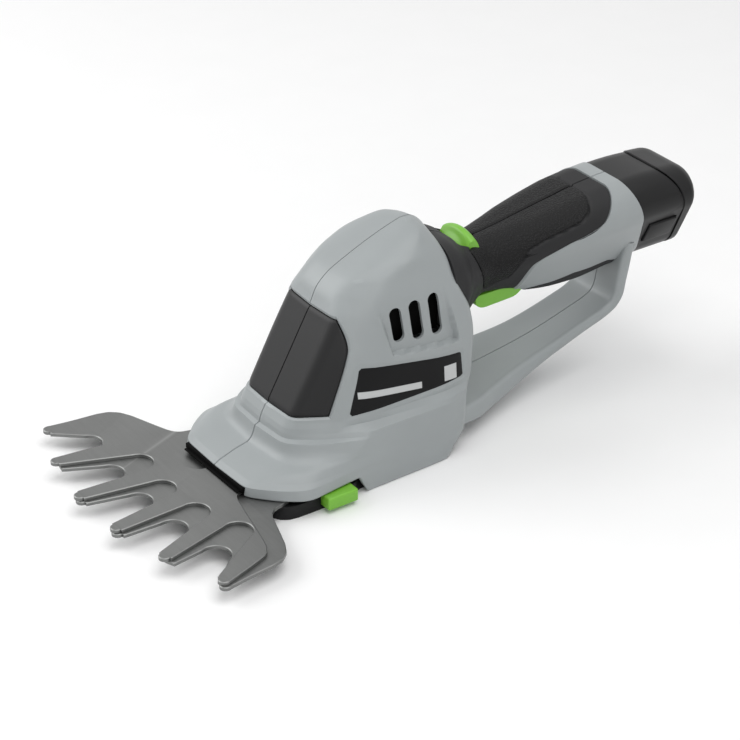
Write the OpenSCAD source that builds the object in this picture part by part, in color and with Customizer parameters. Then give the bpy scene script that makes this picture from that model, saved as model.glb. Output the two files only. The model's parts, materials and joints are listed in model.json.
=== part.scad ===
// Cordless grass shears: two toothed blades under a domed motor head, a grip with a guard loop
// and a stick battery that slides into the grip from the rear.
// The blades point along -X, the battery along +X, +Z is up. The origin lies on the resting
// plane, straight under the blade pivot.

/* [Blades] */
// Distance from the blade pivot to the tooth tips
tip_r = 164.5; // [155:0.5:175]
// Angle from one tooth to the next
tooth_pitch = 12; // [10:0.1:12.4]
// Extra length of the outermost teeth
tip_spread = 3; // [0:0.5:4]
// Angle the moving blade swings
swing = 11.2; // [9:0.2:11.6]
// Thickness of each blade
blade_t = 1.8; // [1.2:0.1:2.2]
// Distance from the pivot to the gullets of the fixed blade
fixed_root_r = 133; // [126:1:140]
// Distance from the pivot to the gullets of the moving blade
moving_root_r = 118; // [114:1:124]
// Radius of the gullet bottoms
gullet_r = 7.5; // [5:0.5:8.5]
// Radius of the tooth tips
tooth_tip_r = 3; // [2:0.2:4]
// Height of the cutting plane above the resting plane
cut_z = 9; // [8.5:0.1:10]

/* [Drive] */
// Distance from the blade pivot to the crank axis
crank_x = 42; // [40:0.5:46]
// Module of the gears
gear_m = 0.8; // [0.6:0.05:0.85]
// Teeth on the crank gear
gear_teeth = 50; // [44:2:52]
// Teeth on the motor pinion
pinion_teeth = 12; // [12:2:14]
// Face width of the gears
gear_w = 7; // [5:0.5:8]
// Diameter of the blade pivot pin
pivot_d = 8; // [6:0.5:10]
// Diameter of the crank gear's axle
axle_d = 6; // [4:0.5:7]
// Diameter of the roller on the crank pin
roller_d = 10; // [9:0.5:11]
// Thickness of the drive lever
lever_t = 2.8; // [2:0.2:3.2]
// Thickness of the gear frame plate
frame_t = 3; // [2.5:0.5:4]

/* [Motor] */
// Diameter of the motor can
motor_d = 36; // [30:1:38]
// Length of the motor can
motor_len = 46; // [38:1:48]
// Diameter of the motor shaft
shaft_d = 3.2; // [2.4:0.2:4]

/* [Head] */
// Height of the dome above the resting plane
dome_h = 115; // [110:1:122]
// Distance from the pivot to the nose lip
nose_x = 97; // [95:1:100]
// Width of the nose rim
nose_w = 97; // [92:1:100]
// Width of the side blocks
base_w = 84; // [82:1:88]
// Width of the flat front face that carries the dark panels
front_w = 41; // [36:1:43]
// Wall thickness of the shells
wall = 2.4; // [1.8:0.1:2.6]
// Thickness of the dark front panels
panel_t = 1.5; // [1:0.1:1.5]
// Height of the base cover's floor
cover_floor = 2.2; // [1.8:0.1:2.4]

/* [Handle] */
// Thickness of the rubber grip
grip_t = 2.2; // [1.5:0.1:2.4]
// Where the grey collar ends
collar_x = 150; // [146:1:154]
// Half width of the guard loop's bar
bar_w = 17; // [14:1:18]

/* [Battery] */
// Diameter of one cell
cell_d = 18.4; // [17.5:0.1:18.6]
// Length of one cell
cell_len = 65; // [60:1:66]
// Wall of the battery case
case_wall = 1.6; // [1.2:0.1:1.8]
// Length of the end cap
cap_len = 9; // [7:1:12]

/* [Controls] */
// Length of the trigger
trigger_len = 30; // [26:1:32]
// Width of the trigger
trigger_w = 17; // [14:1:18]
// Angle the trigger turns
trigger_swing = 6; // [4:0.5:7]
// Width of the lock-off button
lock_w = 23; // [18:1:24]
// Travel of the lock-off button
lock_travel = 3; // [2:0.2:3.2]
// Length of a blade release button
release_len = 17; // [14:1:20]
// Travel of a blade release button
release_travel = 2.5; // [1.5:0.1:3]
// Travel of a battery latch
latch_travel = 1.1; // [0.8:0.1:1.2]

/* [Fits] */
// Radial clearance of turning fits
run_fit = 0.05; // [0.03:0.01:0.08]
// Gap between sliding parts
slide_gap = 0.35; // [0.25:0.05:0.5]
// Gap between parts that are fastened together
seat_gap = 0.1; // [0.05:0.05:0.15]
// Gap between the two blades
blade_gap = 0.1; // [0.05:0.05:0.15]

/* [Hidden] */
$fn = 48;

// Colours
GREY = "#a0a6a8";
DARK = "#2b2d2e";
RUBBER = "#3a3b3c";
GREEN = "#8ccd4b";
STEEL = "#8d9090";
BRASS = "#c9a653";
COPPER = "#b8733f";

// Blades, in the order they stack
tooth_count = 6;
rest_angle = swing / 2;
fixed_z = cut_z - blade_t;
moving_z = cut_z + blade_gap;
lever_z = moving_z + blade_t;
tip_centre_r = tip_r - tooth_tip_r;
neck_w = 27;
fixed_neck_w = 82;
shoulder_w = 164;

// Crank and gears
throw = crank_x * sin(swing / 2);
yoke_slack = 1.5;
pressure = 25;
backlash = 0.14;
web_t = 1.5;
web_z = lever_z + lever_t + 0.4;
gear_z = web_z + web_t;
frame_z = gear_z + gear_w + 2.6;
motor_x = -crank_x + gear_m * (gear_teeth + pinion_teeth) / 2;
motor_z = frame_z + frame_t;
bell_z = motor_z + motor_len;
bell_h = 6;
crank_pin_d = roller_d - 3.6;

// Base cover and the posts that tie it to the gear frame
rim_z = cut_z + 0.5;
block_z = 0.4;
cover_h = fixed_z - 0.2;
post_r = 4;
posts = [for (x = [-47, 7]) for (s = [-1, 1]) [x, s * (x < 0 ? 26 : 28)]];
screw_r = 1.5;
carrier_z = cover_floor + 0.2;

// Head outline, as rows of points from the front seam to the rear seam at rising heights
hb = base_w / 2;
hn = nose_w / 2;
hf = front_w / 2;
// Dome height that the rows below are written for
row_dome_h = 115;
up = dome_h - row_dome_h;
panel_z0 = 38;
panel_z1 = 84 + 0.7 * up;
rows = [
    [rim_z, [-nose_x, 0], [0.8 - nose_x, 27], [12 - nose_x, hn - 9], [24 - nose_x, hn - 0.6],
        [-40, hb + 1.5], [11, hb], [25, hb - 4.5], [29, 0]],
    [rim_z + 2.5, [0.8 - nose_x, 0], [1.6 - nose_x, 27], [13 - nose_x, hn - 9.5], [24.5 - nose_x, hn - 1.6],
        [-41, hb + 1], [12, hb], [26, hb - 4.5], [30, 0]],
    [rim_z + 4.7, [2.5 - nose_x, 0], [3.7 - nose_x, 26.5], [14.5 - nose_x, hn - 11.5], [25 - nose_x, hn - 4],
        [-41, hb + 0.8], [12, hb], [26, hb - 4.5], [30, 0]],
    [18, [12.5 - nose_x, 0], [14 - nose_x, 25], [20 - nose_x, hn - 13.5], [-68, hb - 1.5],
        [-42, hb], [12, hb], [26.5, hb - 4.5], [30.2, 0]],
    [20.3, [-76.3, 0], [-74.5, hf + 4], [-69, 32], [-61, 37],
        [-42, hb - 0.5], [12, hb], [26.5, hb - 4.5], [30.6, 0]],
    [23, [-73.8, 0], [-72, hf + 2.5], [-65, 30.5], [-57, 35.2],
        [-41, hb - 1], [12, hb], [26.5, hb - 4.5], [31, 0]],
    [25.5, [-70.9, 0], [-69.8, hf + 0.5], [-61, 29], [-53, 34],
        [-40, hb - 1.5], [12.5, hb], [27, hb - 4.8], [31.5, 0]],
    [30, [-70.3, 0], [-69.2, hf], [-56.5, 29.5], [-48, 34],
        [-36, hb - 3.5], [13, hb], [27.5, hb - 5], [32, 0]],
    [33.5, [-69, 0], [-68, hf], [-54, 29.2], [-45.5, 34],
        [-34, 37.3], [14, hb - 2.2], [28, hb - 6], [32.6, 0]],
    [panel_z0, [-66.5, 0], [-65.5, hf], [-51, 29], [-43.5, 33.5],
        [-32, 36.5], [14, 38.3], [31, 35], [35.5, 0]],
    [60 + 0.3 * up, [-54.1, 0], [-53.1, hf + 0.3], [-41.5, 28.5], [-35.5, 32],
        [-25, 34.5], [12, 36.8], [33.6, 33.2], [38, 0]],
    [72 + 0.5 * up, [-47.4, 0], [-46.3, hf + 0.2], [-37, 27.2], [-31, 30.5],
        [-21, 33], [11, 35.3], [32.4, 32], [36.6, 0]],
    [panel_z1, [-40.7, 0], [-39.6, hf - 0.5], [-31.5, 25.7], [-25.5, 28.8],
        [-15, 31.3], [10, 33], [27.5, 29.6], [33, 0]],
    [92 + 0.8 * up, [-36.8, 0], [-35.6, 16], [-28, 22.8], [-22, 27],
        [-12, 29.2], [10, 30.6], [25, 26.4], [30.8, 0]],
    [98 + 0.9 * up, [-30.5, 0], [-29.5, 14.7], [-23, 21], [-17, 25.5],
        [-8, 27.3], [10, 28], [24.2, 23.6], [29.6, 0]],
    [104 + up, [-18.5, 0], [-17.5, 15.2], [-12.5, 21], [-7, 24.3],
        [0, 25.8], [12, 24.6], [22.6, 19.6], [27.6, 0]],
    [109 + up, [-6.5, 0], [-5.8, 12.8], [-2, 17.6], [2, 20],
        [7, 21], [13, 19.6], [20.5, 14.6], [24.6, 0]],
    [113 + up, [5, 0], [5.4, 9.2], [7.5, 12.6], [10, 14.2],
        [12.5, 14.6], [14.5, 13], [18, 9], [20.6, 0]],
    [115 + up, [11, 0], [11.2, 2.6], [11.8, 4], [12.6, 4.8],
        [13.6, 5], [14.6, 4.6], [16, 3.4], [17, 0]]
];
// How far each corner of a row is rounded back along its edges
row_round = [0, 5, 5, 6, 9, 9, 4, 0];
round_steps = 3;
panel_points = 2 * (round_steps + 1) + 1;

// Grip outline: a rounded triangle with two upper corner circles and a lower one, at stations along X:
// [x, centre height, half spacing of the upper circles, their rise, the lower one's drop, radius]
stations = [
    [24, 75.5, 13, 10.5, 11, 20], [31, 75.5, 11, 8.5, 9.8, 18.8], [35, 75.5, 7.5, 5.5, 9.5, 19.5],
    [41, 76, 4.5, 3.9, 8.5, 17.5], [48, 76.4, 4, 3.8, 6, 14.6], [56, 76.8, 3.2, 3.6, 3.2, 13],
    [69, 77, 5.2, 4.6, 4.8, 13.3], [83, 77.4, 7.8, 6.2, 8.8, 13.6], [102, 78.2, 9.7, 7.6, 11.7, 14.4],
    [117, 79, 10.2, 8.5, 12.2, 15], [135, 80, 10.2, 8.8, 11.2, 15.2], [156, 81, 10, 8.6, 11.2, 14.8]
];
// Where the rubber gives way to the grey collar, as [height, x]
grip_edge = [[60, 69], [65, 74], [79, 80], [88, 117], [100, 125], [106, 121]];
core_in = grip_t + 0.15;
arc_a = 6;
arc_b = 4;
section_points = arc_a + arc_b + 3;
stop_x = 100;

// Battery: three cells in a triangle
pack_z = 80.1;
cell_pitch = cell_d + 0.3;
pack_a = cell_pitch / 2;
pack_up = cell_pitch * sin(60) / 3;
pack_down = 2 * pack_up;
case_r = cell_d / 2 + 0.2 + case_wall;
well_r = case_r + slide_gap;
battery_x = stop_x + 3;
head_x = collar_x + 0.4;
cap_x = battery_x + case_wall + 0.4 + cell_len + 3.5;
head_sec = [80.5, 9.8, 8, 12, 13.6];

// Guard loop, as [x, z, half width, thickness] along its middle
loop_path = [
    [24, 15.6, 35.4, 10.6], [40, 13.8, 31, 11.6], [54, 14.2, bar_w + 8.5, 11.2], [74, 17.6, bar_w + 3.5, 9.4],
    [96, 22.8, bar_w + 0.8, 7], [118, 29.2, bar_w, 6.2], [130, 33, bar_w, 6], [135.8, 36.4, bar_w, 6.2],
    [138.9, 41.8, bar_w, 7], [140, 47.6, bar_w, 7], [141.5, 56, bar_w - 1.2, 7]
];

// Controls
trigger_x = 52;
trigger_z = 55;
trigger_pin_x = trigger_x + trigger_len + 1.5;
trigger_pin_z = 66.5;
trigger_pin_d = 3;
lock_x = 34.6;
lock_len = 18;
lock_z = 94;
lock_stem = 17;
lock_pocket = 6;
release_x = -64;
release_y = 50;
release_h = 6.6;
release_z = 2;
release_stop = 40 - release_travel - slide_gap;
latch_len = 18;
latch_h = 13;
latch_t = 2.3;
latch_out = 1.2;
latch_depth = 2.9;
latch_x = head_x + 2.6;
latch_tilt = 90 - atan((head_sec[2] + head_sec[3]) / head_sec[1]);

// Screws that close the shells, as [x, z, length of the boss from the seam]
boss_r = 3.4;
head_screws = [[-44, 42], [21, 45], [20, 95]];
shell_screw_places = concat([for (p = head_screws) [p[0], p[1], boss_reach(p[0], p[1])]],
    [[88, 89, 15.6], [60, 15.2, 21]]);

function lerp(a, b, t) = a + (b - a) * t;
function flat(lists) = [for (l = lists) for (p = l) p];
function bend(a, b, c, t) = lerp(lerp(a, b, t), lerp(b, c, t), t);
function toward(p, q, d) = let (l = norm(q - p)) p + (q - p) * min(d, 0.46 * l) / l;

// A row of points with its inner corners rounded
function rounded(p, d) = concat(
    [p[0]],
    [for (i = [1 : len(p) - 2]) for (k = [0 : round_steps])
        bend(toward(p[i], p[i - 1], d[i]), p[i], toward(p[i], p[i + 1], d[i]), k / round_steps)],
    [p[len(p) - 1]]);

function row_points(r) = [for (i = [1 : len(r) - 1]) r[i]];

// Corner points of a row moved inwards by w
function inset_row(r, w) = let (
    p = row_points(r),
    s = min(w, 0.35 * p[4][1]),
    dx = [1, 1, 0.75, 0.5, 0.3, -0.2, -0.8, -1],
    dy = [0, 0.35, 0.75, 0.9, 1, 1, 0.9, 0])
    [for (i = [0 : len(p) - 1]) [p[i][0] + s * dx[i], p[i][1] - s * dy[i]]];

// One ring of the head at a row: y is negative, and the side blocks reach down to their own height
function head_ring(r, w, drop, low) = [for (p = rounded(inset_row(r, w), row_round))
    [p[0], -p[1], low ? lower_edge(p[0]) : max(rim_z, r[0] - drop)]];
function lower_edge(x) = lookup(x, [[-42, rim_z], [-37, block_z], [11, block_z], [24, rim_z]]);

// The row at a height between two rows
function row_at(z, i = 0) = z <= rows[i + 1][0] || i + 2 >= len(rows)
    ? let (t = (z - rows[i][0]) / (rows[i + 1][0] - rows[i][0])) [for (k = [0 : len(rows[0]) - 1])
        k == 0 ? z : lerp(rows[i][k], rows[i + 1][k], t)]
    : row_at(z, i + 1);

// Half width of the head at x and height z, and how far a boss there reaches into its wall
function head_y(x, z) = let (r = row_at(z)) lookup(x, [for (k = [3 : 8]) r[k]]);
function boss_reach(x, z) = min([for (a = [-1, 1]) for (b = [-1, 1])
    head_y(x + 0.7 * a * boss_r, z + 0.7 * b * boss_r)]) - 0.2 * wall;

// Grip section values at x, and its points from the top seam to the bottom seam
function column(k) = [for (s = stations) [s[0], s[k]]];
function section_at(x) = [for (k = [1 : 5]) lookup(x, column(k))];
function section(s, inset) = let (
    r = s[4] - inset,
    turn = 90 + atan(s[1] / (s[2] + s[3])))
    concat(
        [[0, s[0] + s[2] + r]],
        [for (k = [0 : arc_a]) let (a = turn * k / arc_a) [-s[1] - r * sin(a), s[0] + s[2] + r * cos(a)]],
        [for (k = [0 : arc_b]) let (a = lerp(turn, 180, k / arc_b)) [-r * sin(a), s[0] - s[3] + r * cos(a)]]);
function section_ring(x, inset) = [for (p = section(section_at(x), inset)) [x, p[0], p[1]]];
// One point of the grip's surface
function grip_point(x, j, inset) = let (p = section(section_at(x), inset)[j]) [x, p[0], p[1]];

// Rear wall of the dome at a height and distance from the seam
function rear_x(z, y) = let (r = row_at(z)) lerp(r[8][0], r[7][0], abs(y) / r[7][1]);
// Where the rubber starts, against the dome, and ends, against the collar, along line j of the section
function dome_x(j) = let (
    p = section(section_at(34), 0)[j],
    q = section(section_at(rear_x(p[1], p[0])), 0)[j])
    rear_x(q[1], q[0]);
function grip_start(j) = dome_x(j) + 7 * seat_gap;
function grip_end(j) = lookup(section(section_at(100), 0)[j][1], grip_edge);

// Triangles of the quads between two lines of points
function quad(a, b, c, d) = [[a, b, c], [a, c, d]];

// A half shell between outer and inner rings that run from one seam edge to the other
module half_shell(outer, inner, capped = false) {
    rings = len(outer);
    n = len(outer[0]);
    function o(i, j) = i * n + j;
    function q(i, j) = rings * n + i * n + j;
    last = rings - 1;
    end = n - 1;
    skins = [for (i = [0 : last - 1]) for (j = [0 : end - 1]) each concat(
        quad(o(i, j), o(i + 1, j), o(i + 1, j + 1), o(i, j + 1)),
        quad(q(i, j), q(i, j + 1), q(i + 1, j + 1), q(i + 1, j)))];
    seams = [for (i = [0 : last - 1]) each concat(
        quad(o(i + 1, 0), o(i, 0), q(i, 0), q(i + 1, 0)),
        quad(o(i, end), o(i + 1, end), q(i + 1, end), q(i, end)))];
    first = [for (j = [0 : end - 1]) each quad(o(0, j), o(0, j + 1), q(0, j + 1), q(0, j))];
    open_end = [for (j = [0 : end - 1]) each quad(o(last, j + 1), o(last, j), q(last, j), q(last, j + 1))];
    closed_end = concat(
        [for (j = [end : -1 : 2]) [o(last, 0), o(last, j), o(last, j - 1)]],
        [for (j = [1 : end - 1]) [q(last, 0), q(last, j), q(last, j + 1)]],
        quad(o(last, end), o(last, 0), q(last, 0), q(last, end)));
    polyhedron(concat(flat(outer), flat(inner)), concat(skins, seams, first, capped ? closed_end : open_end));
}

// A solid through closed rings
module tube(rings) {
    n = len(rings[0]);
    last = len(rings) - 1;
    sides = [for (i = [0 : last - 1]) for (j = [0 : n - 1]) let (k = (j + 1) % n) each
        quad(i * n + j, i * n + k, i * n + n + k, i * n + n + j)];
    ends = concat(
        [for (j = [1 : n - 2]) [0, j + 1, j]],
        [for (j = [1 : n - 2]) [last * n, last * n + j, last * n + j + 1]]);
    polyhedron(flat(rings), concat(sides, ends));
}

// Direction of a path at point i
function heading(p, i) = let (d = p[min(i + 1, len(p) - 1)] - p[max(i - 1, 0)]) d / norm(d);

// A wire along a path that lies near a plane of constant y
module wire(path, r, sides = 6) {
    tube([for (i = [0 : len(path) - 1]) let (v = cross(heading(path, i), [0, 1, 0]), u = v / norm(v))
        [for (k = [0 : sides - 1]) let (a = 360 * k / sides)
            path[i] + r * (cos(a) * [0, 1, 0] + sin(a) * u)]]);
}

// A compression spring along +Z
module spring(length, coil_r, wire_r, turns) {
    steps = 8;
    sides = 6;
    rise = length - 2 * wire_r;
    tube([for (i = [0 : turns * steps]) let (a = 360 * i / steps)
        [for (k = [0 : sides - 1]) let (b = -360 * k / sides, d = coil_r + wire_r * cos(b))
            [d * cos(a), d * sin(a), wire_r + rise * i / (turns * steps) + wire_r * sin(b)]]]);
}

// An involute gear with its first gap on +X
function involute(rb, a) = [rb * (cos(a) + a * PI / 180 * sin(a)), rb * (sin(a) - a * PI / 180 * cos(a))];
function turned(p, a) = [p[0] * cos(a) - p[1] * sin(a), p[0] * sin(a) + p[1] * cos(a)];
function gear_outline(teeth) = let (
    rp = gear_m * teeth / 2,
    rb = rp * cos(pressure),
    ra = rp + 0.95 * gear_m,
    rf = rp - 1.25 * gear_m,
    start = sqrt(max(0, pow(max(rf, rb) / rb, 2) - 1)) * 180 / PI,
    stop = sqrt(pow(ra / rb, 2) - 1) * 180 / PI,
    half = 90 / teeth - backlash / rp * 45 / PI + (tan(pressure) * 180 / PI - pressure),
    flank = [for (k = [0 : 4]) involute(rb, lerp(start, stop, k / 4))],
    side = concat([[rf, 0]], flank))
    [for (t = [0 : teeth - 1]) let (a = 360 * (t + 0.5) / teeth) each concat(
        [for (p = side) turned(p, a - half)],
        [for (k = [len(side) - 1 : -1 : 0]) turned([side[k][0], -side[k][1]], a + half)])];

module gear(teeth, width) {
    linear_extrude(width) polygon(gear_outline(teeth));
}

// A flat shape from one side's points, mirrored over y = 0
module both_sides(points, height) {
    mirrored = [for (i = [len(points) - 1 : -1 : 0]) [points[i][0], -points[i][1]]];
    linear_extrude(height) polygon(concat(points, mirrored));
}

// A rounded triangle along X from x to x + length: its flats lie a hair inside the corner circles' tangents
module triangle_bar(x, length, s, inset = 0) {
    r = s[4] - inset;
    flat_r = r - 0.02;
    turn = 90 + atan(s[1] / (s[2] + s[3]));
    side = [-flat_r * sin(turn), flat_r * cos(turn)];
    translate([x, 0, s[0]]) rotate([90, 0, 90]) linear_extrude(length) {
        for (y = [-1, 1]) translate([y * s[1], s[2]]) circle(r);
        translate([0, -s[3]]) circle(r);
        polygon([[-s[1], s[2] + flat_r], [side[0] - s[1], s[2] + side[1]], [side[0], side[1] - s[3]],
            [-side[0], side[1] - s[3]], [s[1] - side[0], s[2] + side[1]], [s[1], s[2] + flat_r]]);
    }
}

function pack_section(r) = [pack_z, pack_a, pack_up, pack_down, r];

// Half of the head, closed at the top and open below
module head_half() {
    outer = concat([head_ring(rows[0], 0, 0, true)], [for (r = rows) head_ring(r, 0, 0, false)]);
    inner = concat([head_ring(rows[0], wall, 0, true)], [for (r = rows) head_ring(r, wall, wall, false)]);
    half_shell(outer, inner, true);
}

// Half of the grip's core: hollow in front, a battery well behind its stop
module core_half() {
    xs = [35, 41, 48, 56, 69, 83, 97, stop_x, stop_x + 0.01, 117, 135, collar_x];
    lines = [0 : section_points - 1];
    function front(inset) = [for (j = lines) grip_point(dome_x(j) - 1.5, j, inset)];
    function well(x) = [for (p = section(pack_section(well_r), 0)) [x, p[0], p[1]]];
    outer = [for (x = xs) section_ring(x, core_in)];
    inner = [for (x = xs) x > stop_x ? well(x) : section_ring(x, core_in + wall)];
    half_shell(concat([front(core_in)], outer), concat([front(core_in + wall)], inner));
}

// Half of the grey skin behind the rubber
module collar_half() {
    steps = 7;
    function at(j, k) = lerp(grip_end(j) + 11 * seat_gap, collar_x, k / steps);
    outer = [for (k = [0 : steps]) [for (j = [0 : section_points - 1]) grip_point(at(j, k), j, 0)]];
    inner = [for (k = [0 : steps]) [for (j = [0 : section_points - 1]) grip_point(at(j, k), j, core_in + 0.4)]];
    half_shell(outer, inner);
}

// Half of the guard loop's bar
module loop_half() {
    edge = 2;
    path = [for (p = loop_path) [p[0], 0, p[1]]];
    tube([for (i = [0 : len(path) - 1]) let (
        u = cross(heading(path, i), [0, 1, 0]), n = u / norm(u),
        w = loop_path[i][2], t = loop_path[i][3] / 2)
        [for (c = [[0, t], [edge - w, t], [-w, t - edge], [-w, edge - t], [edge - w, -t], [0, -t]])
            path[i] + [0, c[0], 0] - c[1] * n]]);
}

// The part of the head that a front panel covers, from depth in to depth out
module panel_half(depth_in, depth_out, z0, z1, points) {
    zs = [z0, lerp(z0, z1, 0.33), lerp(z0, z1, 0.67), z1];
    function ring(z, d) = let (p = rounded(inset_row(row_at(z), d), row_round))
        [for (j = [0 : points - 1]) [p[j][0], -p[j][1], z]];
    half_shell([for (z = zs) ring(z, depth_out)], [for (z = zs) ring(z, depth_in)]);
}

// Vent slots in the side of the head
module vents() {
    for (i = [0 : 2]) translate([-10 + 10.3 * i, 0, 77 + i]) rotate([90, -8, 0]) {
        for (z = [-6.5 - i, 6.5 + i]) translate([0, z, 20]) cylinder(h = 24, r = 3.1);
        translate([-3.1, -6.5 - i, 20]) cube([6.2, 13 + 2 * i, 24]);
    }
}

// The trigger's opening and the lock-off button's opening
module control_openings(gap) {
    sweep = 1.2;
    translate([trigger_x - gap - sweep, -trigger_w / 2 - gap, 45])
        cube([trigger_len + 2 * gap + sweep, trigger_w + 2 * gap, 68.5 - 45]);
    translate([lock_x - lock_travel - gap, -lock_w / 2 - gap, lock_z - gap])
        cube([lock_len + lock_travel + 2 * gap, lock_w + 2 * gap, 30]);
    translate([lock_x + 1 - lock_travel - gap, -lock_stem / 2 - gap, lock_z - 8])
        cube([lock_len - 3 + lock_travel + 2 * gap, lock_stem + 2 * gap, 20]);
}

// Left half of the housing, without its screw holes
module shell_half() {
    difference() {
        union() {
            head_half();
            core_half();
            collar_half();
            loop_half();
        }
        panel_half(panel_t + seat_gap, -3, panel_z0, panel_z1, panel_points);
        vents();
        control_openings(slide_gap);
        translate([-nose_x - 5, -25.5, cut_z - 1]) cube([14, 26, 4.2]);
        translate([20, -7, 66]) cube([20, 8, 20]);
        translate([trigger_pin_x - 5.5, -stem_half - slide_gap, 61.2])
            cube([10.2, stem_half + slide_gap + 1, 9.5]);
        pin_bar(trigger_pin_half + seat_gap, trigger_pin_d / 2 + seat_gap / 2);
    }
    shell_bosses();
    switch_ribs();
}

// Bosses that the shell screws run through, from the side wall to the seam
module shell_bosses() {
    for (p = shell_screw_places) if (p[1] > 20)
        translate([p[0], -0.05, p[1]]) rotate([90, 0, 0]) cylinder(h = p[2], r = boss_r);
}

// Control board, a plate across the hollow of the grip
board_x = 92;
board_t = 1.6;

// Ribs that hold the switch
switch_x = 64;
switch_len = 20;
switch_w = 10;
switch_z = 74;
switch_h = 10;
module switch_ribs() {
    for (x = [switch_x + 2, switch_x + switch_len - 4])
        translate([x, -14.6, switch_z + 2]) cube([2, 14.6 - switch_w / 2 - seat_gap, switch_h - 3]);
    translate([trigger_x + 3, -12.6, spring_top]) cube([6, 12.55, 1.6]);
}

module screw_holes(r) {
    for (p = shell_screw_places) translate([p[0], 1, p[1]]) rotate([90, 0, 0]) cylinder(h = 9, r = r);
}

// The left half takes the screw points
module left_shell() {
    color(GREY) difference() {
        shell_half();
        screw_holes(screw_r + seat_gap);
    }
}

// The right half has through holes and recesses for the heads
module right_shell() {
    color(GREY) difference() {
        mirror([0, 1, 0]) shell_half();
        for (p = shell_screw_places) translate([p[0], 0, p[1]]) rotate([-90, 0, 0]) {
            translate([0, 0, -1]) cylinder(h = 60, r = screw_r + seat_gap);
            translate([0, 0, p[2] - 7]) cylinder(h = 40, r = 3);
        }
    }
}

module shell_screws() {
    color(STEEL) for (p = shell_screw_places) translate([p[0], 0, p[1]]) rotate([-90, 0, 0]) {
        translate([0, 0, -7.5]) cylinder(h = p[2] + 0.6, r = screw_r);
        translate([0, 0, p[2] - 7]) cylinder(h = 2.2, r = 2.7);
    }
}

module left_panel() {
    color(DARK) panel_half(panel_t, 0, panel_z0 + seat_gap, panel_z1 - seat_gap, panel_points - 1);
}

module right_panel() {
    color(DARK) mirror([0, 1, 0])
        panel_half(panel_t, 0, panel_z0 + seat_gap, panel_z1 - seat_gap, panel_points - 1);
}

// The dark tray under the blades, with pockets for the release buttons
cover_half = hb - wall - slide_gap;
cover_line = [[-91, 0], [-91, 28], [-85, 43.5], [-68, 43.8], [-44, 43], [-40, cover_half], [8, cover_half],
    [22, cover_half - 6], [24, 0]];
cover_round = [0, 9, 8, 8, 3, 3, 5, 5, 0];
module cover_prism(inset, height) {
    line = [for (p = cover_line) [p[0] + (p[0] < -60 ? inset : p[0] > 0 ? -inset : 0), max(0, p[1] - inset)]];
    both_sides(rounded(line, cover_round), height);
}
module base_cover() {
    color(DARK) difference() {
        union() {
            difference() {
                cover_prism(0, cover_h);
                translate([0, 0, cover_floor]) cover_prism(wall, cover_h);
            }
            for (s = [-1, 1]) translate([release_x - 3, s * 33.5 - 1, 0]) cube([release_len + 6, 2, cover_h]);
        }
        for (s = [-1, 1])
            translate([release_x - slide_gap, s > 0 ? release_stop : -release_y, release_z - slide_gap])
                cube([release_len + 2 * slide_gap, release_y - release_stop, 12]);
        for (p = posts) translate([p[0], p[1], -1]) {
            cylinder(h = 10, r = screw_r + seat_gap);
            cylinder(h = 2, r = 3);
        }
    }
}

module cover_screws() {
    color(STEEL) for (p = posts) translate([p[0], p[1], 0.2]) {
        cylinder(h = 0.75, r = 2.7);
        cylinder(h = 12, r = screw_r);
    }
}

// A rubber sleeve half over the front of the grip
module grip_half() {
    steps = 14;
    function at(j, k) = let (t = k / steps) lerp(grip_start(j), grip_end(j), t * (0.55 + 0.45 * t));
    difference() {
        half_shell(
            [for (k = [0 : steps]) [for (j = [0 : section_points - 1]) grip_point(at(j, k), j, 0)]],
            [for (k = [0 : steps]) [for (j = [0 : section_points - 1]) grip_point(at(j, k), j, grip_t)]]);
        control_openings(slide_gap);
    }
}
module left_grip() {
    color(RUBBER) grip_half();
}
module right_grip() {
    color(RUBBER) mirror([0, 1, 0]) grip_half();
}

// The cast plate over the gears, with four posts down to the base cover
module gear_frame() {
    edge = inset_row(row_at(frame_z + frame_t + wall), wall + 2 * slide_gap);
    plate = [[-59, 0], [-59, edge[1][1]], edge[2], edge[3], edge[4], [9, edge[5][1]],
        [22, edge[6][1] - 1], [22, 0]];
    color(STEEL) difference() {
        union() {
            translate([0, 0, frame_z]) both_sides(rounded(plate, [0, 5, 4, 4, 4, 4, 4, 0]), frame_t);
            for (p = posts) translate([p[0], p[1], cover_floor + seat_gap])
                cylinder(h = frame_z - cover_floor, r = post_r);
        }
        translate([0, 0, -1]) cylinder(h = 60, r = pivot_d / 2 + run_fit / 2);
        translate([-crank_x, 0, frame_z - 1]) cylinder(h = 10, r = axle_d / 2 + run_fit / 2);
        translate([motor_x, 0, frame_z - 1]) cylinder(h = 10, r = motor_boss_r + seat_gap);
        for (p = motor_screw_places) translate([p[0], p[1], frame_z - 1])
            cylinder(h = 10, r = screw_r + seat_gap);
        for (p = posts) translate([p[0], p[1], 0]) cylinder(h = 13, r = screw_r + seat_gap);
    }
}

module pivot_pin() {
    color(STEEL) {
        translate([0, 0, carrier_z]) cylinder(h = motor_z - carrier_z, r = pivot_d / 2);
    }
}

module crank_axle() {
    color(STEEL) translate([-crank_x, 0, gear_z + 0.3]) cylinder(h = motor_z - gear_z - 0.3, r = axle_d / 2);
}

module thrust_washer() {
    color(BRASS) translate([-crank_x, 0, frame_z - 1.1]) difference() {
        cylinder(h = 1, r = axle_d / 2 + 3.5);
        translate([0, 0, -1]) cylinder(h = 3, r = axle_d / 2 + run_fit);
    }
}

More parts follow.
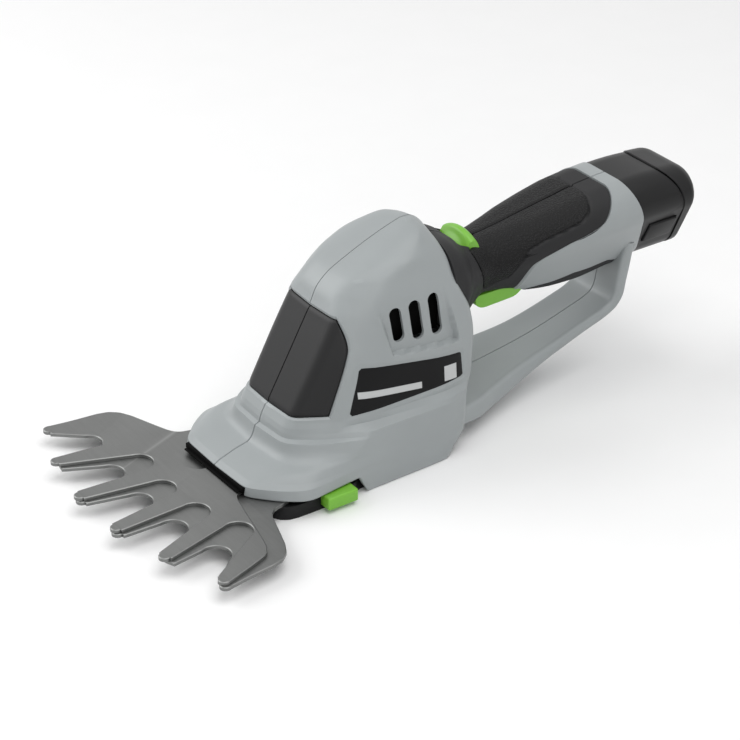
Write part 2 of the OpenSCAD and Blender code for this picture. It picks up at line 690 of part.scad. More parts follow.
// Teeth of a blade at the given angles from -X: gullets are cut between them
module gullet(angle, root_r) {
    open = (tip_centre_r + 6) * sin(tooth_pitch / 2) - tooth_tip_r - 0.3;
    rotate([0, 0, angle]) translate([0, 0, -1]) linear_extrude(blade_t + 2) {
        translate([-root_r - gullet_r, 0]) circle(gullet_r);
        polygon([[-root_r - gullet_r, gullet_r], [-tip_centre_r - 6, open], [-tip_r - 9, open],
            [-tip_r - 9, -open], [-tip_centre_r - 6, -open], [-root_r - gullet_r, -gullet_r]]);
    }
}
function tooth_reach(i) = tip_centre_r + tip_spread * (pow(i / 2.5, 2) - 0.5);
module tooth_tips(count) {
    for (i = [0 : count - 1]) rotate([0, 0, tooth_pitch * (i - (count - 1) / 2)])
        translate([-tooth_reach(i - (count - 1) / 2), 0, 0]) cylinder(h = blade_t, r = tooth_tip_r);
}
// A fan that ends in straight steps from one tip's centre to the next
function tip_at(i, out = 0) = let (a = tooth_pitch * i, r = tooth_reach(i))
    [-r * cos(a) - out * sin(a), r * sin(a) - out * cos(a)];
module fan(count, line, round) {
    last = (count - 1) / 2;
    front = [for (i = [count % 2 ? 0 : 0.5 : 1 : last]) tip_at(i)];
    side = rounded(concat([tip_at(last, -tooth_tip_r)], line), concat([0], round));
    both_sides(concat(front, side), blade_t);
}

module fixed_blade() {
    line = [[-127, shoulder_w / 2], [-105, shoulder_w / 2 - 2], [-97, 57], [-92, fixed_neck_w / 2 + 1],
        [-78, fixed_neck_w / 2 - 1], [-62, 23], [-8, 15], [13, 9], [13, 0]];
    color(STEEL) translate([0, 0, fixed_z]) difference() {
        union() {
            difference() {
                fan(tooth_count, line, [8, 14, 6, 6, 8, 9, 8, 8, 0]);
                for (i = [1 - tooth_count / 2 : tooth_count / 2 - 1])
                    gullet(tooth_pitch * i, fixed_root_r + tip_spread * (i * i - 1) / 2);
            }
            tooth_tips(tooth_count);
        }
        translate([0, 0, -1]) cylinder(h = 9, r = pivot_d / 2 + run_fit / 2);
        for (p = carrier_rivet_places) translate([p[0], p[1], -1]) cylinder(h = 9, r = rivet_r + run_fit / 2);
    }
}

carrier_rivet_places = [for (x = [-66, -24]) for (s = [-1, 1]) [x, s * (x < -50 ? 18 : 11)]];
rivet_r = 2;
module blade_carrier() {
    line = [[-78, 0], [-78, 22], [-60, 22], [-10, 15], [12, 9], [12, 0]];
    color(DARK) translate([0, 0, carrier_z]) difference() {
        both_sides(rounded(line, [0, 6, 8, 8, 7, 0]), fixed_z - carrier_z);
        translate([0, 0, -1]) cylinder(h = 9, r = pivot_d / 2 + run_fit / 2);
        for (p = carrier_rivet_places) translate([p[0], p[1], -1]) cylinder(h = 9, r = rivet_r + run_fit / 2);
    }
}
module carrier_rivets() {
    color(STEEL) for (p = carrier_rivet_places)
        translate([p[0], p[1], carrier_z]) cylinder(h = cut_z - carrier_z, r = rivet_r);
}

// The moving blade at the end of its swing, over fixed teeth two to six
module moving_blade() {
    count = tooth_count - 1;
    line = [[-moving_root_r - 10, 64.5], [-moving_root_r, 61.5], [10 - moving_root_r, neck_w / 2 + 19],
        [16.5 - moving_root_r, neck_w / 2],
        [-30, neck_w / 2], [8, 10], [11, 0]];
    color(STEEL) translate([0, 0, moving_z]) rotate([0, 0, rest_angle]) difference() {
        union() {
            difference() {
                fan(count, line, [6, 9, 8, 5, 12, 7, 0]);
                for (i = [0 : count - 2]) gullet(tooth_pitch * (i - (count - 2) / 2), moving_root_r);
            }
            tooth_tips(count);
        }
        translate([0, 0, -1]) cylinder(h = 9, r = pivot_d / 2 + run_fit);
        for (p = lever_rivet_places) translate([p[0], p[1], -1]) cylinder(h = 9, r = rivet_r + run_fit / 2);
    }
}

lever_rivet_places = [[-60, 8], [-60, -8], [-16, 0]];
module drive_lever() {
    slot_half = throw + roller_d / 2 + 0.9;
    line = [[-66, 0], [-66, 12], [-30, 14], [8, 9.5], [11, 0]];
    color(STEEL) translate([0, 0, lever_z]) rotate([0, 0, rest_angle]) difference() {
        both_sides(rounded(line, [0, 6, 9, 7, 0]), lever_t);
        translate([-crank_x - slot_half, -roller_d / 2 - yoke_slack, -1])
            cube([2 * slot_half, roller_d + 2 * yoke_slack, 9]);
        translate([0, 0, -1]) cylinder(h = 9, r = pivot_d / 2 + run_fit);
        for (p = lever_rivet_places) translate([p[0], p[1], -1]) cylinder(h = 9, r = rivet_r + run_fit / 2);
    }
}
module lever_rivets() {
    color(STEEL) translate([0, 0, moving_z]) rotate([0, 0, rest_angle]) for (p = lever_rivet_places)
        translate(p) cylinder(h = blade_t + lever_t, r = rivet_r);
}

// Crank gear: teeth, a web and an overhung crank pin at the end of its throw
module crank_gear() {
    color(STEEL) translate([-crank_x, 0, 0]) {
        difference() {
            union() {
                translate([0, 0, gear_z]) gear(gear_teeth, gear_w);
                translate([0, 0, web_z]) cylinder(h = web_t, r = throw + roller_d / 2 + 2);
                translate([0, 0, gear_z + gear_w]) cylinder(h = 1.4, r = axle_d / 2 + 3);
            }
            translate([0, 0, gear_z + 0.1]) cylinder(h = 30, r = axle_d / 2 + run_fit);
        }
        translate([0, -throw, lever_z + 0.1]) cylinder(h = web_z - lever_z, r = crank_pin_d / 2);
    }
}
module crank_roller() {
    color(BRASS) translate([-crank_x, -throw, lever_z + 0.2]) difference() {
        cylinder(h = lever_t - 0.4, r = roller_d / 2);
        translate([0, 0, -1]) cylinder(h = 9, r = crank_pin_d / 2 + run_fit);
    }
}

// Motor
can_t = 1.4;
motor_boss_r = 6.5;
motor_screw_places = [for (s = [-1, 1]) [motor_x, s * 12.5]];
core_r = motor_d / 2 - 6.5;
module motor_can() {
    color(STEEL) translate([motor_x, 0, motor_z]) difference() {
        union() {
            cylinder(h = motor_len, r = motor_d / 2);
            translate([0, 0, -frame_t + 0.4]) cylinder(h = frame_t, r = motor_boss_r);
        }
        translate([0, 0, can_t + 1]) cylinder(h = motor_len, r = motor_d / 2 - can_t);
        translate([0, 0, -9]) cylinder(h = 30, r = bush_r + run_fit / 2);
        for (p = motor_screw_places) translate([0, p[1], -9]) cylinder(h = 30, r = screw_r + seat_gap);
    }
}
module motor_magnets() {
    color(DARK) translate([motor_x, 0, motor_z + 8]) for (s = [0, 180]) rotate([0, 0, s - 60])
        rotate_extrude(angle = 120) translate([core_r + 0.6, 0])
            square([motor_d / 2 - can_t - core_r - 0.6 - run_fit, 30]);
}
bush_r = 4;
module motor_bushes() {
    color(BRASS) for (z = [motor_z - frame_t + 0.4, bell_z + 1.5]) translate([motor_x, 0, z]) difference() {
        cylinder(h = 4, r = bush_r);
        translate([0, 0, -1]) cylinder(h = 9, r = shaft_d / 2 + run_fit);
    }
}
module motor_end_bell() {
    color(DARK) translate([motor_x, 0, bell_z]) difference() {
        union() {
            translate([0, 0, seat_gap]) cylinder(h = bell_h - 2, r = motor_d / 2);
            cylinder(h = bell_h, r = motor_boss_r);
        }
        translate([0, 0, -1]) cylinder(h = 20, r = bush_r + run_fit / 2);
    }
    color(COPPER) for (s = [-1, 1])
        translate([motor_x + 9, s * 7 - 1.5, bell_z + bell_h - 2.5]) cube([0.8, 3, 6]);
}
module motor_screws() {
    color(STEEL) for (p = motor_screw_places) translate([p[0], p[1], frame_z - 2]) {
        cylinder(h = 1.9, r = 2.6);
        cylinder(h = frame_t + can_t + 3, r = screw_r);
    }
}
module motor_shaft() {
    color(STEEL) translate([motor_x, 0, gear_z - 0.6])
        cylinder(h = bell_z + bell_h - gear_z, r = shaft_d / 2);
}
module armature() {
    color(COPPER) translate([motor_x, 0, motor_z + 9]) difference() {
        union() {
            cylinder(h = 26, r = core_r);
            translate([0, 0, -2.5]) cylinder(h = 31, r = core_r - 3);
        }
        translate([0, 0, -9]) cylinder(h = 60, r = shaft_d / 2 + run_fit / 4);
        for (a = [0 : 72 : 288]) rotate([0, 0, a]) translate([core_r - 3, -1, -9]) cube([9, 2, 60]);
    }
}
module commutator() {
    color(COPPER) translate([motor_x, 0, motor_z + 38]) difference() {
        cylinder(h = 7, r = 5);
        translate([0, 0, -1]) cylinder(h = 20, r = shaft_d / 2 + run_fit / 4);
    }
}
module pinion() {
    color(BRASS) translate([motor_x, 0, gear_z]) difference() {
        rotate([0, 0, 180 + 180 / pinion_teeth]) gear(pinion_teeth, gear_w);
        translate([0, 0, -1]) cylinder(h = 20, r = shaft_d / 2 + run_fit / 4);
    }
}

// Trigger: a finger face below and a narrower stem that turns about a pin behind it
stem_half = 5;
stem_top = 69;
eye_r = 4;
spring_top = 76.6;
module side_plate(half, points) {
    translate([0, half, 0]) rotate([90, 0, 0]) linear_extrude(2 * half) polygon(points);
}
module trigger() {
    end_x = trigger_x + trigger_len;
    face = [[trigger_x + 0.4, trigger_z + 7.6], [trigger_x, trigger_z + 3], [trigger_x + 4, trigger_z],
        [end_x - 5, trigger_z + 0.6], [end_x - 0.5, trigger_z + 3.6], [end_x - 0.5, trigger_z + 7.6]];
    stem = [[trigger_x + 1, trigger_z + 7], [trigger_pin_x, trigger_pin_z - eye_r],
        [trigger_pin_x, trigger_pin_z + eye_r], [trigger_x + 20, stem_top], [trigger_x + 1, stem_top - 0.8]];
    color(GREEN) difference() {
        union() {
            side_plate(trigger_w / 2, rounded(face, [0, 2, 3, 3, 3, 0]));
            side_plate(stem_half, stem);
            pin_bar(stem_half, eye_r);
        }
        pin_bar(20, trigger_pin_d / 2 + run_fit);
    }
}
trigger_pin_half = 9.6;
module pin_bar(half, r) {
    translate([trigger_pin_x, half, trigger_pin_z]) rotate([90, 0, 0]) cylinder(h = 2 * half, r = r);
}
module trigger_pin() {
    color(STEEL) pin_bar(trigger_pin_half, trigger_pin_d / 2);
}
module trigger_spring() {
    color(STEEL) translate([trigger_x + 6, 0, stem_top]) spring(spring_top - stem_top - 0.1, 2.8, 0.4, 5);
}

// Snap switch over the trigger, with its plunger and terminals
module switch_body() {
    color(DARK) {
        translate([switch_x, -switch_w / 2, switch_z]) cube([switch_len, switch_w, switch_h]);
        translate([switch_x + 3, -2, switch_z - 3]) cube([4, 4, 3.5]);
    }
    color(BRASS) for (x = [3, 10, 17]) translate([switch_x + x, -1.5, switch_z + switch_h - 0.5])
        cube([0.8, 3, 3.5]);
}

// Lock-off button: a tall front ridge and a dished thumb face, on a stem with a pocket for its spring
module lock_button() {
    back = lock_x + lock_len;
    side = [[lock_x, lock_z], [lock_x, 96], [lock_x + 4, 98.8], [lock_x + 7, 98.8], [lock_x + 10.5, 96.6],
        [back - 2, 96.2], [back, 95.2], [back, lock_z + 0.3]];
    color(GREEN) difference() {
        union() {
            side_plate(lock_w / 2, rounded(side, [0, 2, 2, 3, 4, 2, 0, 0]));
            translate([lock_x + 1, -lock_stem / 2, lock_z - 5]) cube([lock_len - 3, lock_stem, 6]);
        }
        translate([lock_x, 0, lock_z - 2.4]) rotate([0, 90, 0]) cylinder(h = lock_pocket + 1, r = 2);
    }
}
module lock_spring() {
    color(STEEL) translate([lock_x - lock_travel - 0.1, 0, lock_z - 2.4]) rotate([0, 90, 0])
        spring(lock_travel + lock_pocket + 1, 1.5, 0.35, 5);
}

// Control board with the terminal block that faces the battery
module control_board() {
    color("#2f6b3c") triangle_bar(board_x, board_t, section_at(board_x), core_in + wall + slide_gap);
}
block_len = 6;
module terminal_block() {
    color(DARK) translate([board_x + board_t + seat_gap, -9, pack_z - 12]) cube([block_len, 18, 18]);
}
module terminal_blades() {
    color(BRASS) for (y = [-6, 0, 6])
        translate([board_x + board_t + block_len + 2 * seat_gap, y - 0.4, pack_z - 8]) cube([4.4, 0.8, 8]);
}

// Leads from the motor to the switch, and from the board to the switch
lead_r = 0.9;
lead_z = switch_z + switch_h + 1.8;
lead_y = 2.45;
function lead_colour(s) = s < 0 ? "#b03030" : "#202020";
module motor_leads() {
    top = bell_z + bell_h;
    for (s = [-1, 1]) color(lead_colour(s)) wire([[motor_x + 10.75, s * 7, top + 1.5],
        [motor_x + 11.5, s * 7, top + 5], [motor_x + 15, s * 7, top + 7], [motor_x + 24, s * 6.5, top + 6],
        [18, s * 5, 83], [34, s * 4, 81], [48, s * 4, 83.5], [58, s * 3.5, lead_z],
        [switch_x + (s < 0 ? 4 : 11), s * lead_y, lead_z]], lead_r);
}
module supply_leads() {
    for (s = [-1, 1]) color(lead_colour(s)) wire([[switch_x + (s < 0 ? 10 : 17), s * lead_y, lead_z],
        [switch_x + 20, s * 3, lead_z - 0.6], [switch_x + 23, s * 5, 82],
        [board_x - 0.1, s * 5, 81.5]], lead_r);
}

// Blade release button and its spring
module release(side) {
    color(GREEN) mirror([0, side > 0 ? 1 : 0, 0]) difference() {
        translate([release_x, -release_y, release_z]) cube([release_len, release_y - 40, release_h]);
        translate([release_x - 1, -release_y, release_z + 5]) rotate([35, 0, 0])
            translate([0, -10, 0]) cube([release_len + 2, 10, 12]);
    }
}
module left_release() {
    release(-1);
}
module right_release() {
    release(1);
}
module release_spring(side) {
    color(STEEL) translate([release_x + release_len / 2, side * 34.6, release_z + release_h / 2 - 0.6])
        rotate([side > 0 ? -90 : 90, 0, 0]) spring(5.3, 2, 0.35, 5);
}
module left_release_spring() {
    release_spring(-1);
}
module right_release_spring() {
    release_spring(1);
}

// Battery
module battery_case() {
    shell = pack_section(case_r);
    color(DARK) difference() {
        union() {
            triangle_bar(battery_x, head_x + 1 - battery_x, shell);
            triangle_bar(head_x, cap_x - head_x, head_sec);
        }
        triangle_bar(battery_x + case_wall, cap_x - battery_x, shell, case_wall);
        for (y = [-6, 0, 6]) translate([battery_x - 1, y - 1.2, pack_z - 9]) cube([4, 2.4, 10]);
        for (s = [-1, 1]) latch_place(s) translate([-slide_gap, -latch_h / 2 - slide_gap, -latch_depth])
            cube([latch_len + 2 * slide_gap, latch_h + 2 * slide_gap, 20]);
    }
}
module battery_cap() {
    color(DARK) {
        triangle_bar(cap_x + seat_gap, cap_len - 3, head_sec, -0.8);
        triangle_bar(cap_x + cap_len - 3, 3, head_sec, 2.4);
    }
}
cell_x = battery_x + case_wall + 0.4;
module battery_cells() {
    color("#3f6fb0") for (p = [[-pack_a, pack_up], [pack_a, pack_up], [0, -pack_down]])
        translate([cell_x, p[0], pack_z + p[1]]) rotate([0, 90, 0]) cylinder(h = cell_len, r = cell_d / 2);
}
module battery_contacts() {
    color(BRASS) for (y = [-6, 0, 6]) translate([battery_x + 0.4, y + 0.6, pack_z - 7]) cube([1.5, 0.5, 7]);
}

// Frame of a latch on the lower side face of the battery: x along the tool, z out of the face
module latch_place(side) {
    mid = [side * head_sec[1] / 2, head_sec[0] + (head_sec[2] - head_sec[3]) / 2];
    out = [side * cos(latch_tilt), -sin(latch_tilt)];
    translate([latch_x, mid[0] + head_sec[4] * out[0], mid[1] + head_sec[4] * out[1]])
        rotate([-side * (90 + latch_tilt), 0, 0]) children();
}
module latch(side) {
    color(DARK) latch_place(side) translate([0, -latch_h / 2, latch_out - latch_t])
        cube([latch_len, latch_h, latch_t]);
}
module left_latch() {
    latch(-1);
}
module right_latch() {
    latch(1);
}
module latch_spring(side) {
    color(STEEL) latch_place(side) translate([latch_len / 2, 0, -latch_depth])
        spring(latch_depth + latch_out - latch_t, 2.4, 0.25, 2);
}
module left_latch_spring() {
    latch_spring(-1);
}
module right_latch_spring() {
    latch_spring(1);
}

left_shell();
right_shell();
left_panel();
right_panel();
base_cover();
left_grip();
right_grip();
shell_screws();
cover_screws();
gear_frame();
pivot_pin();
crank_axle();
thrust_washer();
fixed_blade();
blade_carrier();
carrier_rivets();
moving_blade();
drive_lever();
lever_rivets();
crank_gear();
crank_roller();
motor_can();
motor_magnets();
motor_end_bell();
motor_bushes();
motor_screws();
motor_shaft();
armature();
commutator();
pinion();
trigger();
trigger_pin();
trigger_spring();
switch_body();
lock_button();
lock_spring();
control_board();
terminal_block();
terminal_blades();
motor_leads();
supply_leads();
left_release();
right_release();
left_release_spring();
right_release_spring();
battery_case();
battery_cap();
battery_cells();
battery_contacts();
left_latch();
right_latch();
left_latch_spring();
right_latch_spring();
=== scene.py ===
"""Cordless grass shears: the finished pieces, their surfaces and a plain studio stage."""

import json
import math

import bmesh
import bpy
import numpy as np
from bpy.props import FloatProperty, FloatVectorProperty, PointerProperty
from mathutils import Matrix, Vector


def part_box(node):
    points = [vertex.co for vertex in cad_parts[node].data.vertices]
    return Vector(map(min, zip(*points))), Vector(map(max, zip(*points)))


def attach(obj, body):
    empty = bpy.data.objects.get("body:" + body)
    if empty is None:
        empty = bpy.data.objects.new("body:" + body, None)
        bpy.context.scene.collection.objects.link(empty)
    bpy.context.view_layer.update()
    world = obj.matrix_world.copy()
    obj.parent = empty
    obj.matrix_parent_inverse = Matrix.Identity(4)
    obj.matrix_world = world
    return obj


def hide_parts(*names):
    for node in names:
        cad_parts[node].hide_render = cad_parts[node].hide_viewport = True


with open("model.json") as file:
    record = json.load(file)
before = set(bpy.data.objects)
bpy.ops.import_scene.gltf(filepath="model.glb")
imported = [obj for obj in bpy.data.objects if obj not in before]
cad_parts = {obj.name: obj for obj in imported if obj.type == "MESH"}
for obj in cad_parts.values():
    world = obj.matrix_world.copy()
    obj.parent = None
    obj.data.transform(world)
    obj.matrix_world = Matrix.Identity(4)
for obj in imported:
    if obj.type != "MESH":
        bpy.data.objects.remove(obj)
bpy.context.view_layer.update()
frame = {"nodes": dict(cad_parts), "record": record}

bl_info = {
    "name": "Grass Shears Finish",
    "version": (1, 0, 0),
    "blender": (4, 5, 0),
    "location": "View3D > Sidebar > Shears",
    "description": "Builds the finished pieces of the cordless grass shears and their stage",
    "category": "Object",
}

MM = 0.001

# Head outline in millimetres: a height, then corner points from the front seam to the rear seam
HEAD_ROWS = (
    (9.5, (-97, 0), (-96.2, 27), (-85, 39.5), (-73, 47.9),
     (-40, 43.5), (11, 42), (25, 37.5), (29, 0)),
    (12, (-96.6, 0), (-95.8, 27), (-84.3, 39), (-72.6, 47),
     (-41, 43), (12, 42), (26, 37.5), (30, 0)),
    (14.3, (-96.2, 0), (-95.3, 26.9), (-83.8, 38.4), (-72.3, 46),
     (-41, 42.9), (12, 42), (26, 37.5), (30, 0)),
    (16, (-93.2, 0), (-92, 26.2), (-81.6, 36.2), (-71.2, 43.4),
     (-41.2, 42.7), (12, 42), (26, 37.5), (30, 0)),
    (18.8, (-84.5, 0), (-83, 25), (-77, 34.8), (-68, 40.2),
     (-41.6, 42.3), (12, 42), (26.5, 37.5), (30.2, 0)),
    (20.8, (-76.9, 0), (-75, 24.6), (-69.4, 32.4), (-61.4, 37.4),
     (-41.5, 42.1), (12, 42), (26.5, 37.5), (30.6, 0)),
    (23.6, (-74.5, 0), (-72.5, 23.3), (-65.4, 30.8), (-57.2, 35.5),
     (-40.4, 42), (12.2, 42), (26.6, 37.5), (31, 0)),
    (28.2, (-72.8, 0), (-71.3, 22.3), (-62.2, 30.3), (-54, 34.9),
     (-36.4, 41.9), (12.6, 42), (27.1, 37.2), (31.6, 0)),
    (29.1, (-70.4, 0), (-69.3, 20.7), (-57.6, 29.4), (-49, 33.9),
     (-35.4, 41.8), (12.8, 42), (27.2, 37.1), (31.8, 0)),
    (31.4, (-69.9, 0), (-68.8, 20.5), (-55.6, 29.3), (-46.9, 33.8),
     (-33.2, 41.6), (13, 42), (27.5, 37), (32.1, 0)),
    (33.8, (-68.9, 0), (-67.9, 20.5), (-53.9, 29.2), (-45.4, 33.6),
     (-30.6, 36.9), (14, 41.2), (28.2, 36.6), (32.8, 0)),
    (36.6, (-67.3, 0), (-66.3, 20.5), (-51.8, 29), (-44.1, 33.4),
     (-31.4, 36.4), (14, 38.2), (30.3, 35.1), (34.9, 0)),
    (38.6, (-66.2, 0), (-65.2, 20.5), (-50.7, 29), (-43.3, 33.4),
     (-31.8, 36.5), (14, 38.3), (31, 35), (35.6, 0)),
    (60, (-54.1, 0), (-53.1, 20.8), (-41.5, 28.5), (-35.5, 32),
     (-25, 34.5), (12, 36.8), (33.6, 33.2), (38, 0)),
    (72, (-47.4, 0), (-46.3, 20.7), (-37, 27.2), (-31, 30.5),
     (-21, 33), (11, 35.3), (32.4, 32), (36.6, 0)),
    (84, (-40.7, 0), (-39.6, 20), (-31.5, 25.7), (-25.5, 28.8),
     (-15, 31.3), (10, 33), (27.5, 29.6), (33, 0)),
    (92, (-36.8, 0), (-35.6, 16), (-28, 22.8), (-22, 27),
     (-12, 29.2), (10, 30.6), (25, 26.4), (30.8, 0)),
    (98, (-30.5, 0), (-29.5, 14.7), (-23, 21), (-17, 25.5),
     (-8, 27.3), (10, 28), (24.2, 23.6), (29.6, 0)),
    (104, (-18.5, 0), (-17.5, 15.2), (-12.5, 21), (-7, 24.3),
     (0, 25.8), (12, 24.6), (22.6, 19.6), (27.6, 0)),
    (109, (-6.5, 0), (-5.8, 12.8), (-2, 17.6), (2, 20),
     (7, 21), (13, 19.6), (20.5, 14.6), (24.6, 0)),
    (113, (5, 0), (5.4, 9.2), (7.5, 12.6), (10, 14.2),
     (12.5, 14.6), (14.5, 13), (18, 9), (20.6, 0)),
    (114.8, (11, 0), (11.2, 2.6), (11.8, 4), (12.6, 4.8),
     (13.6, 5), (14.6, 4.6), (16, 3.4), (17, 0)),
)
HEAD_TOP = (14.2, 115.0)
SOFT_CORNERS = (0, 5, 5, 6, 9, 9, 4, 0)
BLOCK_CORNERS = (0, 5, 4, 2, 1.6, 5, 4, 0)
BLOCK_HEIGHTS = (19, 36)
# Heights at which the rows turn in a crisp edge, and how far that edge is eased
CRISP_HEIGHTS = (14.3, 16, 28.2, 29.1, 31.4, 33.8, 36.6)
CRISP_EASE = 0.4
# Cells along each straight side of a row, cells round each corner, and the step between rows
SIDE_CELLS = (16, 12, 6, 8, 44, 14, 22)
CORNER_CELLS = (6, 6, 6, 28, 32, 8)
ROW_STEP = 0.8
SKIRT_EDGE = ((-200, 9.5), (-42, 9.5), (-37, 0.4), (11, 0.4), (24, 9.5), (200, 9.5))
SKIRT_CELLS = 9

# Grip sections in millimetres: x, middle height, half width, upper and lower reach, corner radius
GRIP_STATIONS = (
    (24, 75.5, 9.5, 9.5, 11, 19),
    (31, 75.5, 8.6, 8, 9.8, 18.6),
    (35, 75.5, 7.2, 5.5, 9.5, 19.2),
    (41, 76, 4.5, 3.9, 8.5, 17.5),
    (48, 76.4, 4, 3.8, 6, 14.6),
    (56, 76.8, 3.2, 3.6, 3.2, 13),
    (69, 77, 5.2, 4.6, 4.8, 13.3),
    (83, 77.4, 7.8, 6.2, 8.8, 13.6),
    (102, 78.2, 9.7, 7.6, 11.7, 14.4),
    (117, 79, 10.2, 8.5, 12.2, 15),
    (135, 80, 10.2, 8.8, 11.2, 15.2),
    (156, 81, 10, 8.6, 11.2, 14.8),
    (173.5, 80.7, 9.9, 8.2, 11.8, 14.2),
    (183, 80.5, 9.8, 8, 12, 13.8),
)
# Line between rubber and collar, collar and battery, and case and cap, as height and x
RUBBER_EDGE = ((60, 75), (65, 76.5), (76.6, 79.5), (84.3, 97),
               (86.3, 110), (91, 119.5), (99.8, 126.5), (104, 129.5))
COLLAR_EDGE = ((52, 153.5), (60, 152.5), (81, 147), (95, 142.3), (104, 138.5))
CAP_EDGE = ((52, 176), (60, 175.6), (74.5, 174.5), (87, 172.6),
            (94.8, 170), (101, 166), (104.5, 162.5))
# Textured insert on the rubber, as x and the share of the way round from the top seam
INSERT_FRONT = ((55, 0.715), (44.5, 0.215))
INSERT_LOW = ((55, 0.715), (67, 0.635), (70, 0.51), (76, 0.375), (86, 0.34), (107, 0.312))
INSERT_REAR = ((107, 0.312), (112.5, 0.27), (115, 0.2), (117, 0.1), (117, 0.004))
INSERT_TOP = ((44.5, 0.215), (51, 0.14), (54.5, 0.05), (56, 0.004), (80, 0.004), (117, 0.004))
# Upper edge of the dark strip under the grip, in the same terms
STRIP_EDGE = ((84, 0.86), (90, 0.82), (110, 0.768), (132, 0.785), (139, 0.83))

# Guard loop: x, height, half width and thickness along its path
LOOP_PATH = (
    (24, 15.6, 35.4, 10.6),
    (40, 13.8, 31, 11.6),
    (54, 14.2, 25.5, 11.2),
    (74, 17.6, 20.5, 9.4),
    (96, 22.8, 17.8, 7),
    (118, 29.2, 17, 6.2),
    (130, 33, 17, 6),
    (135.8, 36.4, 17, 6.2),
    (138.9, 41.8, 17, 7),
    (140, 47.6, 17, 7),
    (141.8, 56, 17, 7),
    (143.2, 63, 17.2, 6.4),
    (144.4, 69, 17.4, 5.4),
)

# Vent slots on the side of the head, as lower and upper end of each, and the recess round them
VENTS = (((-10.5, 71.2), (-12.5, 83.2)), ((0.3, 69.7), (-2, 84.4)), ((11.1, 69.2), (8.8, 85.2)))
VENT_RECESS = ((-15.5, 64), (22.5, 60.4), (15.5, 92), (-22.5, 92))
LABEL = ((-41.3, 37.9), (24.6, 40.5), (23.7, 53.6), (-34, 61.5))
PANEL_FOOT, PANEL_TOP, PANEL_SHOULDER = 38.9, 83.6, 68.5
PANEL_CORNER = 3.2
NOSE_SLOT = ((-103, -25.5, 8), (-84, 3, 13.9))
# Side view of the lock lever from its front foot over the top to its rear foot, and its half width
LOCK_PROFILE = ((41.4, 89.2), (40.9, 91.4), (41.1, 93.7), (42.4, 95.9), (44.1, 98), (46, 99.6),
                (47.8, 99.8), (49.7, 98.7), (51.3, 96.2), (52.3, 92.8), (52.4, 89.2))
LOCK_HALF = 11.4
SCREW_SPOTS = ((-44, 42), (21, 45), (20, 95))
# Cuts for the screws and the wells round them: start and end from the skin, and radius
SCREW_HOLE, SCREW_WELL, WELL_WALL = (-5, 9, 3.0), (-5.5, -0.8, 3.05), 0.8
ROUND_SIDES = 24

# Points inside the head and the grip, from which their skins face away
HEAD_MIDDLE, GRIP_MIDDLE = (0.0, 0.0, 50.0), 78.0
# Numbers in a row that are places, cells at a seam, and how far corners and crisp rows may spread
ROW_VALUES, SEAM_CELL, CORNER_LIMIT, CRISP_LIMIT, HEIGHT_SAMPLES = 17, 0.025, 0.46, 0.4, 40
# Half width from which the head's side begins, and how its label field and vent recess fade out
SIDE_FROM, LABEL_EASE = 22, 0.9
RECESS_EASE, RECESS_TOP, RECESS_FADE = 1.3, 92, 24
# How far the first rows of the head's lower edge sink, above the height of its flap
SKIRT_DROPS, SKIRT_FLAP = (0.55, 0.15), 4
# Rows at the head's pole that stay off the seam, and how near to the middle plane the others come
POLE_ROWS, SEAM_TOUCH = 3, 0.002
# Distances within which points become one, by the kind of piece
WALL_MERGE, WALL_SLIVER, TUBE_MERGE, HALVES_MERGE, POLE_MERGE = 0.003, 0.002, 0.001, 0.02, 0.01
BLADE_MERGE, SOFT_MERGE, FLAT_ANGLE = 0.004, 0.005, 1.5

# Front panel: cells, taper of its shoulders, last column, gap, depth below the skin, rim and wall
PANEL_CELLS, PANEL_TAPER, PANEL_END = (30, 60), 1.7, 3.6
PANEL_GAP, PANEL_SUNK, PANEL_RIM, PANEL_WALL = 0.3, 0.45, (0.5, 0.12), 1.4
# The panel's opening: spread and depth of each cut, last column, and the reach of the cutters
OPENING_CUTS, OPENING_END, OPENING_WIDER = ((0.15, -2.6), (2.2, -1.1)), 3.8, 0.8
OPENING_LIFT, OPENING_FLOOR, PAST_SEAM = 1.0, 0.1, 2.0
VENT_MIDDLE, VENT_REACH, VENT_ROUND = -34, 24, 0.98
# Black blocks of painted shade behind the openings: two corners and the rounding of the edges
NOSE_SHADE_BLOCKS = (((-96.9, -25.2, 11.1), (-78, 25.2, 13.8), 0.3),
              ((-98.6, -23.8, 11.05), (-96, 23.8, 11.8), 0.25))
VENT_SHADE_BLOCKS = (((-17, -25.6, 65), (16, -24.4, 88), 0.3), ((-17, 24.4, 65), (16, 25.6, 88), 0.3))
LOCK_SHADE_BLOCK = (((36.8, -12, 86.6), (53.6, 12, 88.4), 0.2),)
# Label plate, and its blank fields: x from and to, height from and to, and slope
LABEL_CELLS, LABEL_LIFT, LABEL_RIM, LABEL_WALL = (48, 16), 0.18, (0.2,), 0.5
LABEL_FIELDS = ((-36, -1, 42.2, 45.6, 0.11), (12.3, 20, 42.6, 50.6, 0.08))

# Guard loop: edge radius, lead at the seam, cells, steps, reach for its direction, and a test point
LOOP_EDGE, LOOP_LEAD, LOOP_CELLS, LOOP_TURN = 2.4, 0.4, 12, 5
LOOP_STEPS, LOOP_NEAR, LOOP_PROBE = 130, 0.05, (14, 60)
# Room for the battery in the loop's top, as places along the tool and inset from the grip's skin
ROOM_PLACES, ROOM_INSET = (124, 132, 140, 148, 156), 0.9
# Grip sections: points round each, share of the seam's cells, and first guesses for the edges
GRIP_ROUND, SEAM_SHARE, EDGE_GUESS = (40, 24), 0.006, (34.0, 100.0)
# Where the rubber laps over the rear of the dome
DOME_HEIGHTS, DOME_REAR, DOME_LAP = (40, 113), 25.0, 1.2
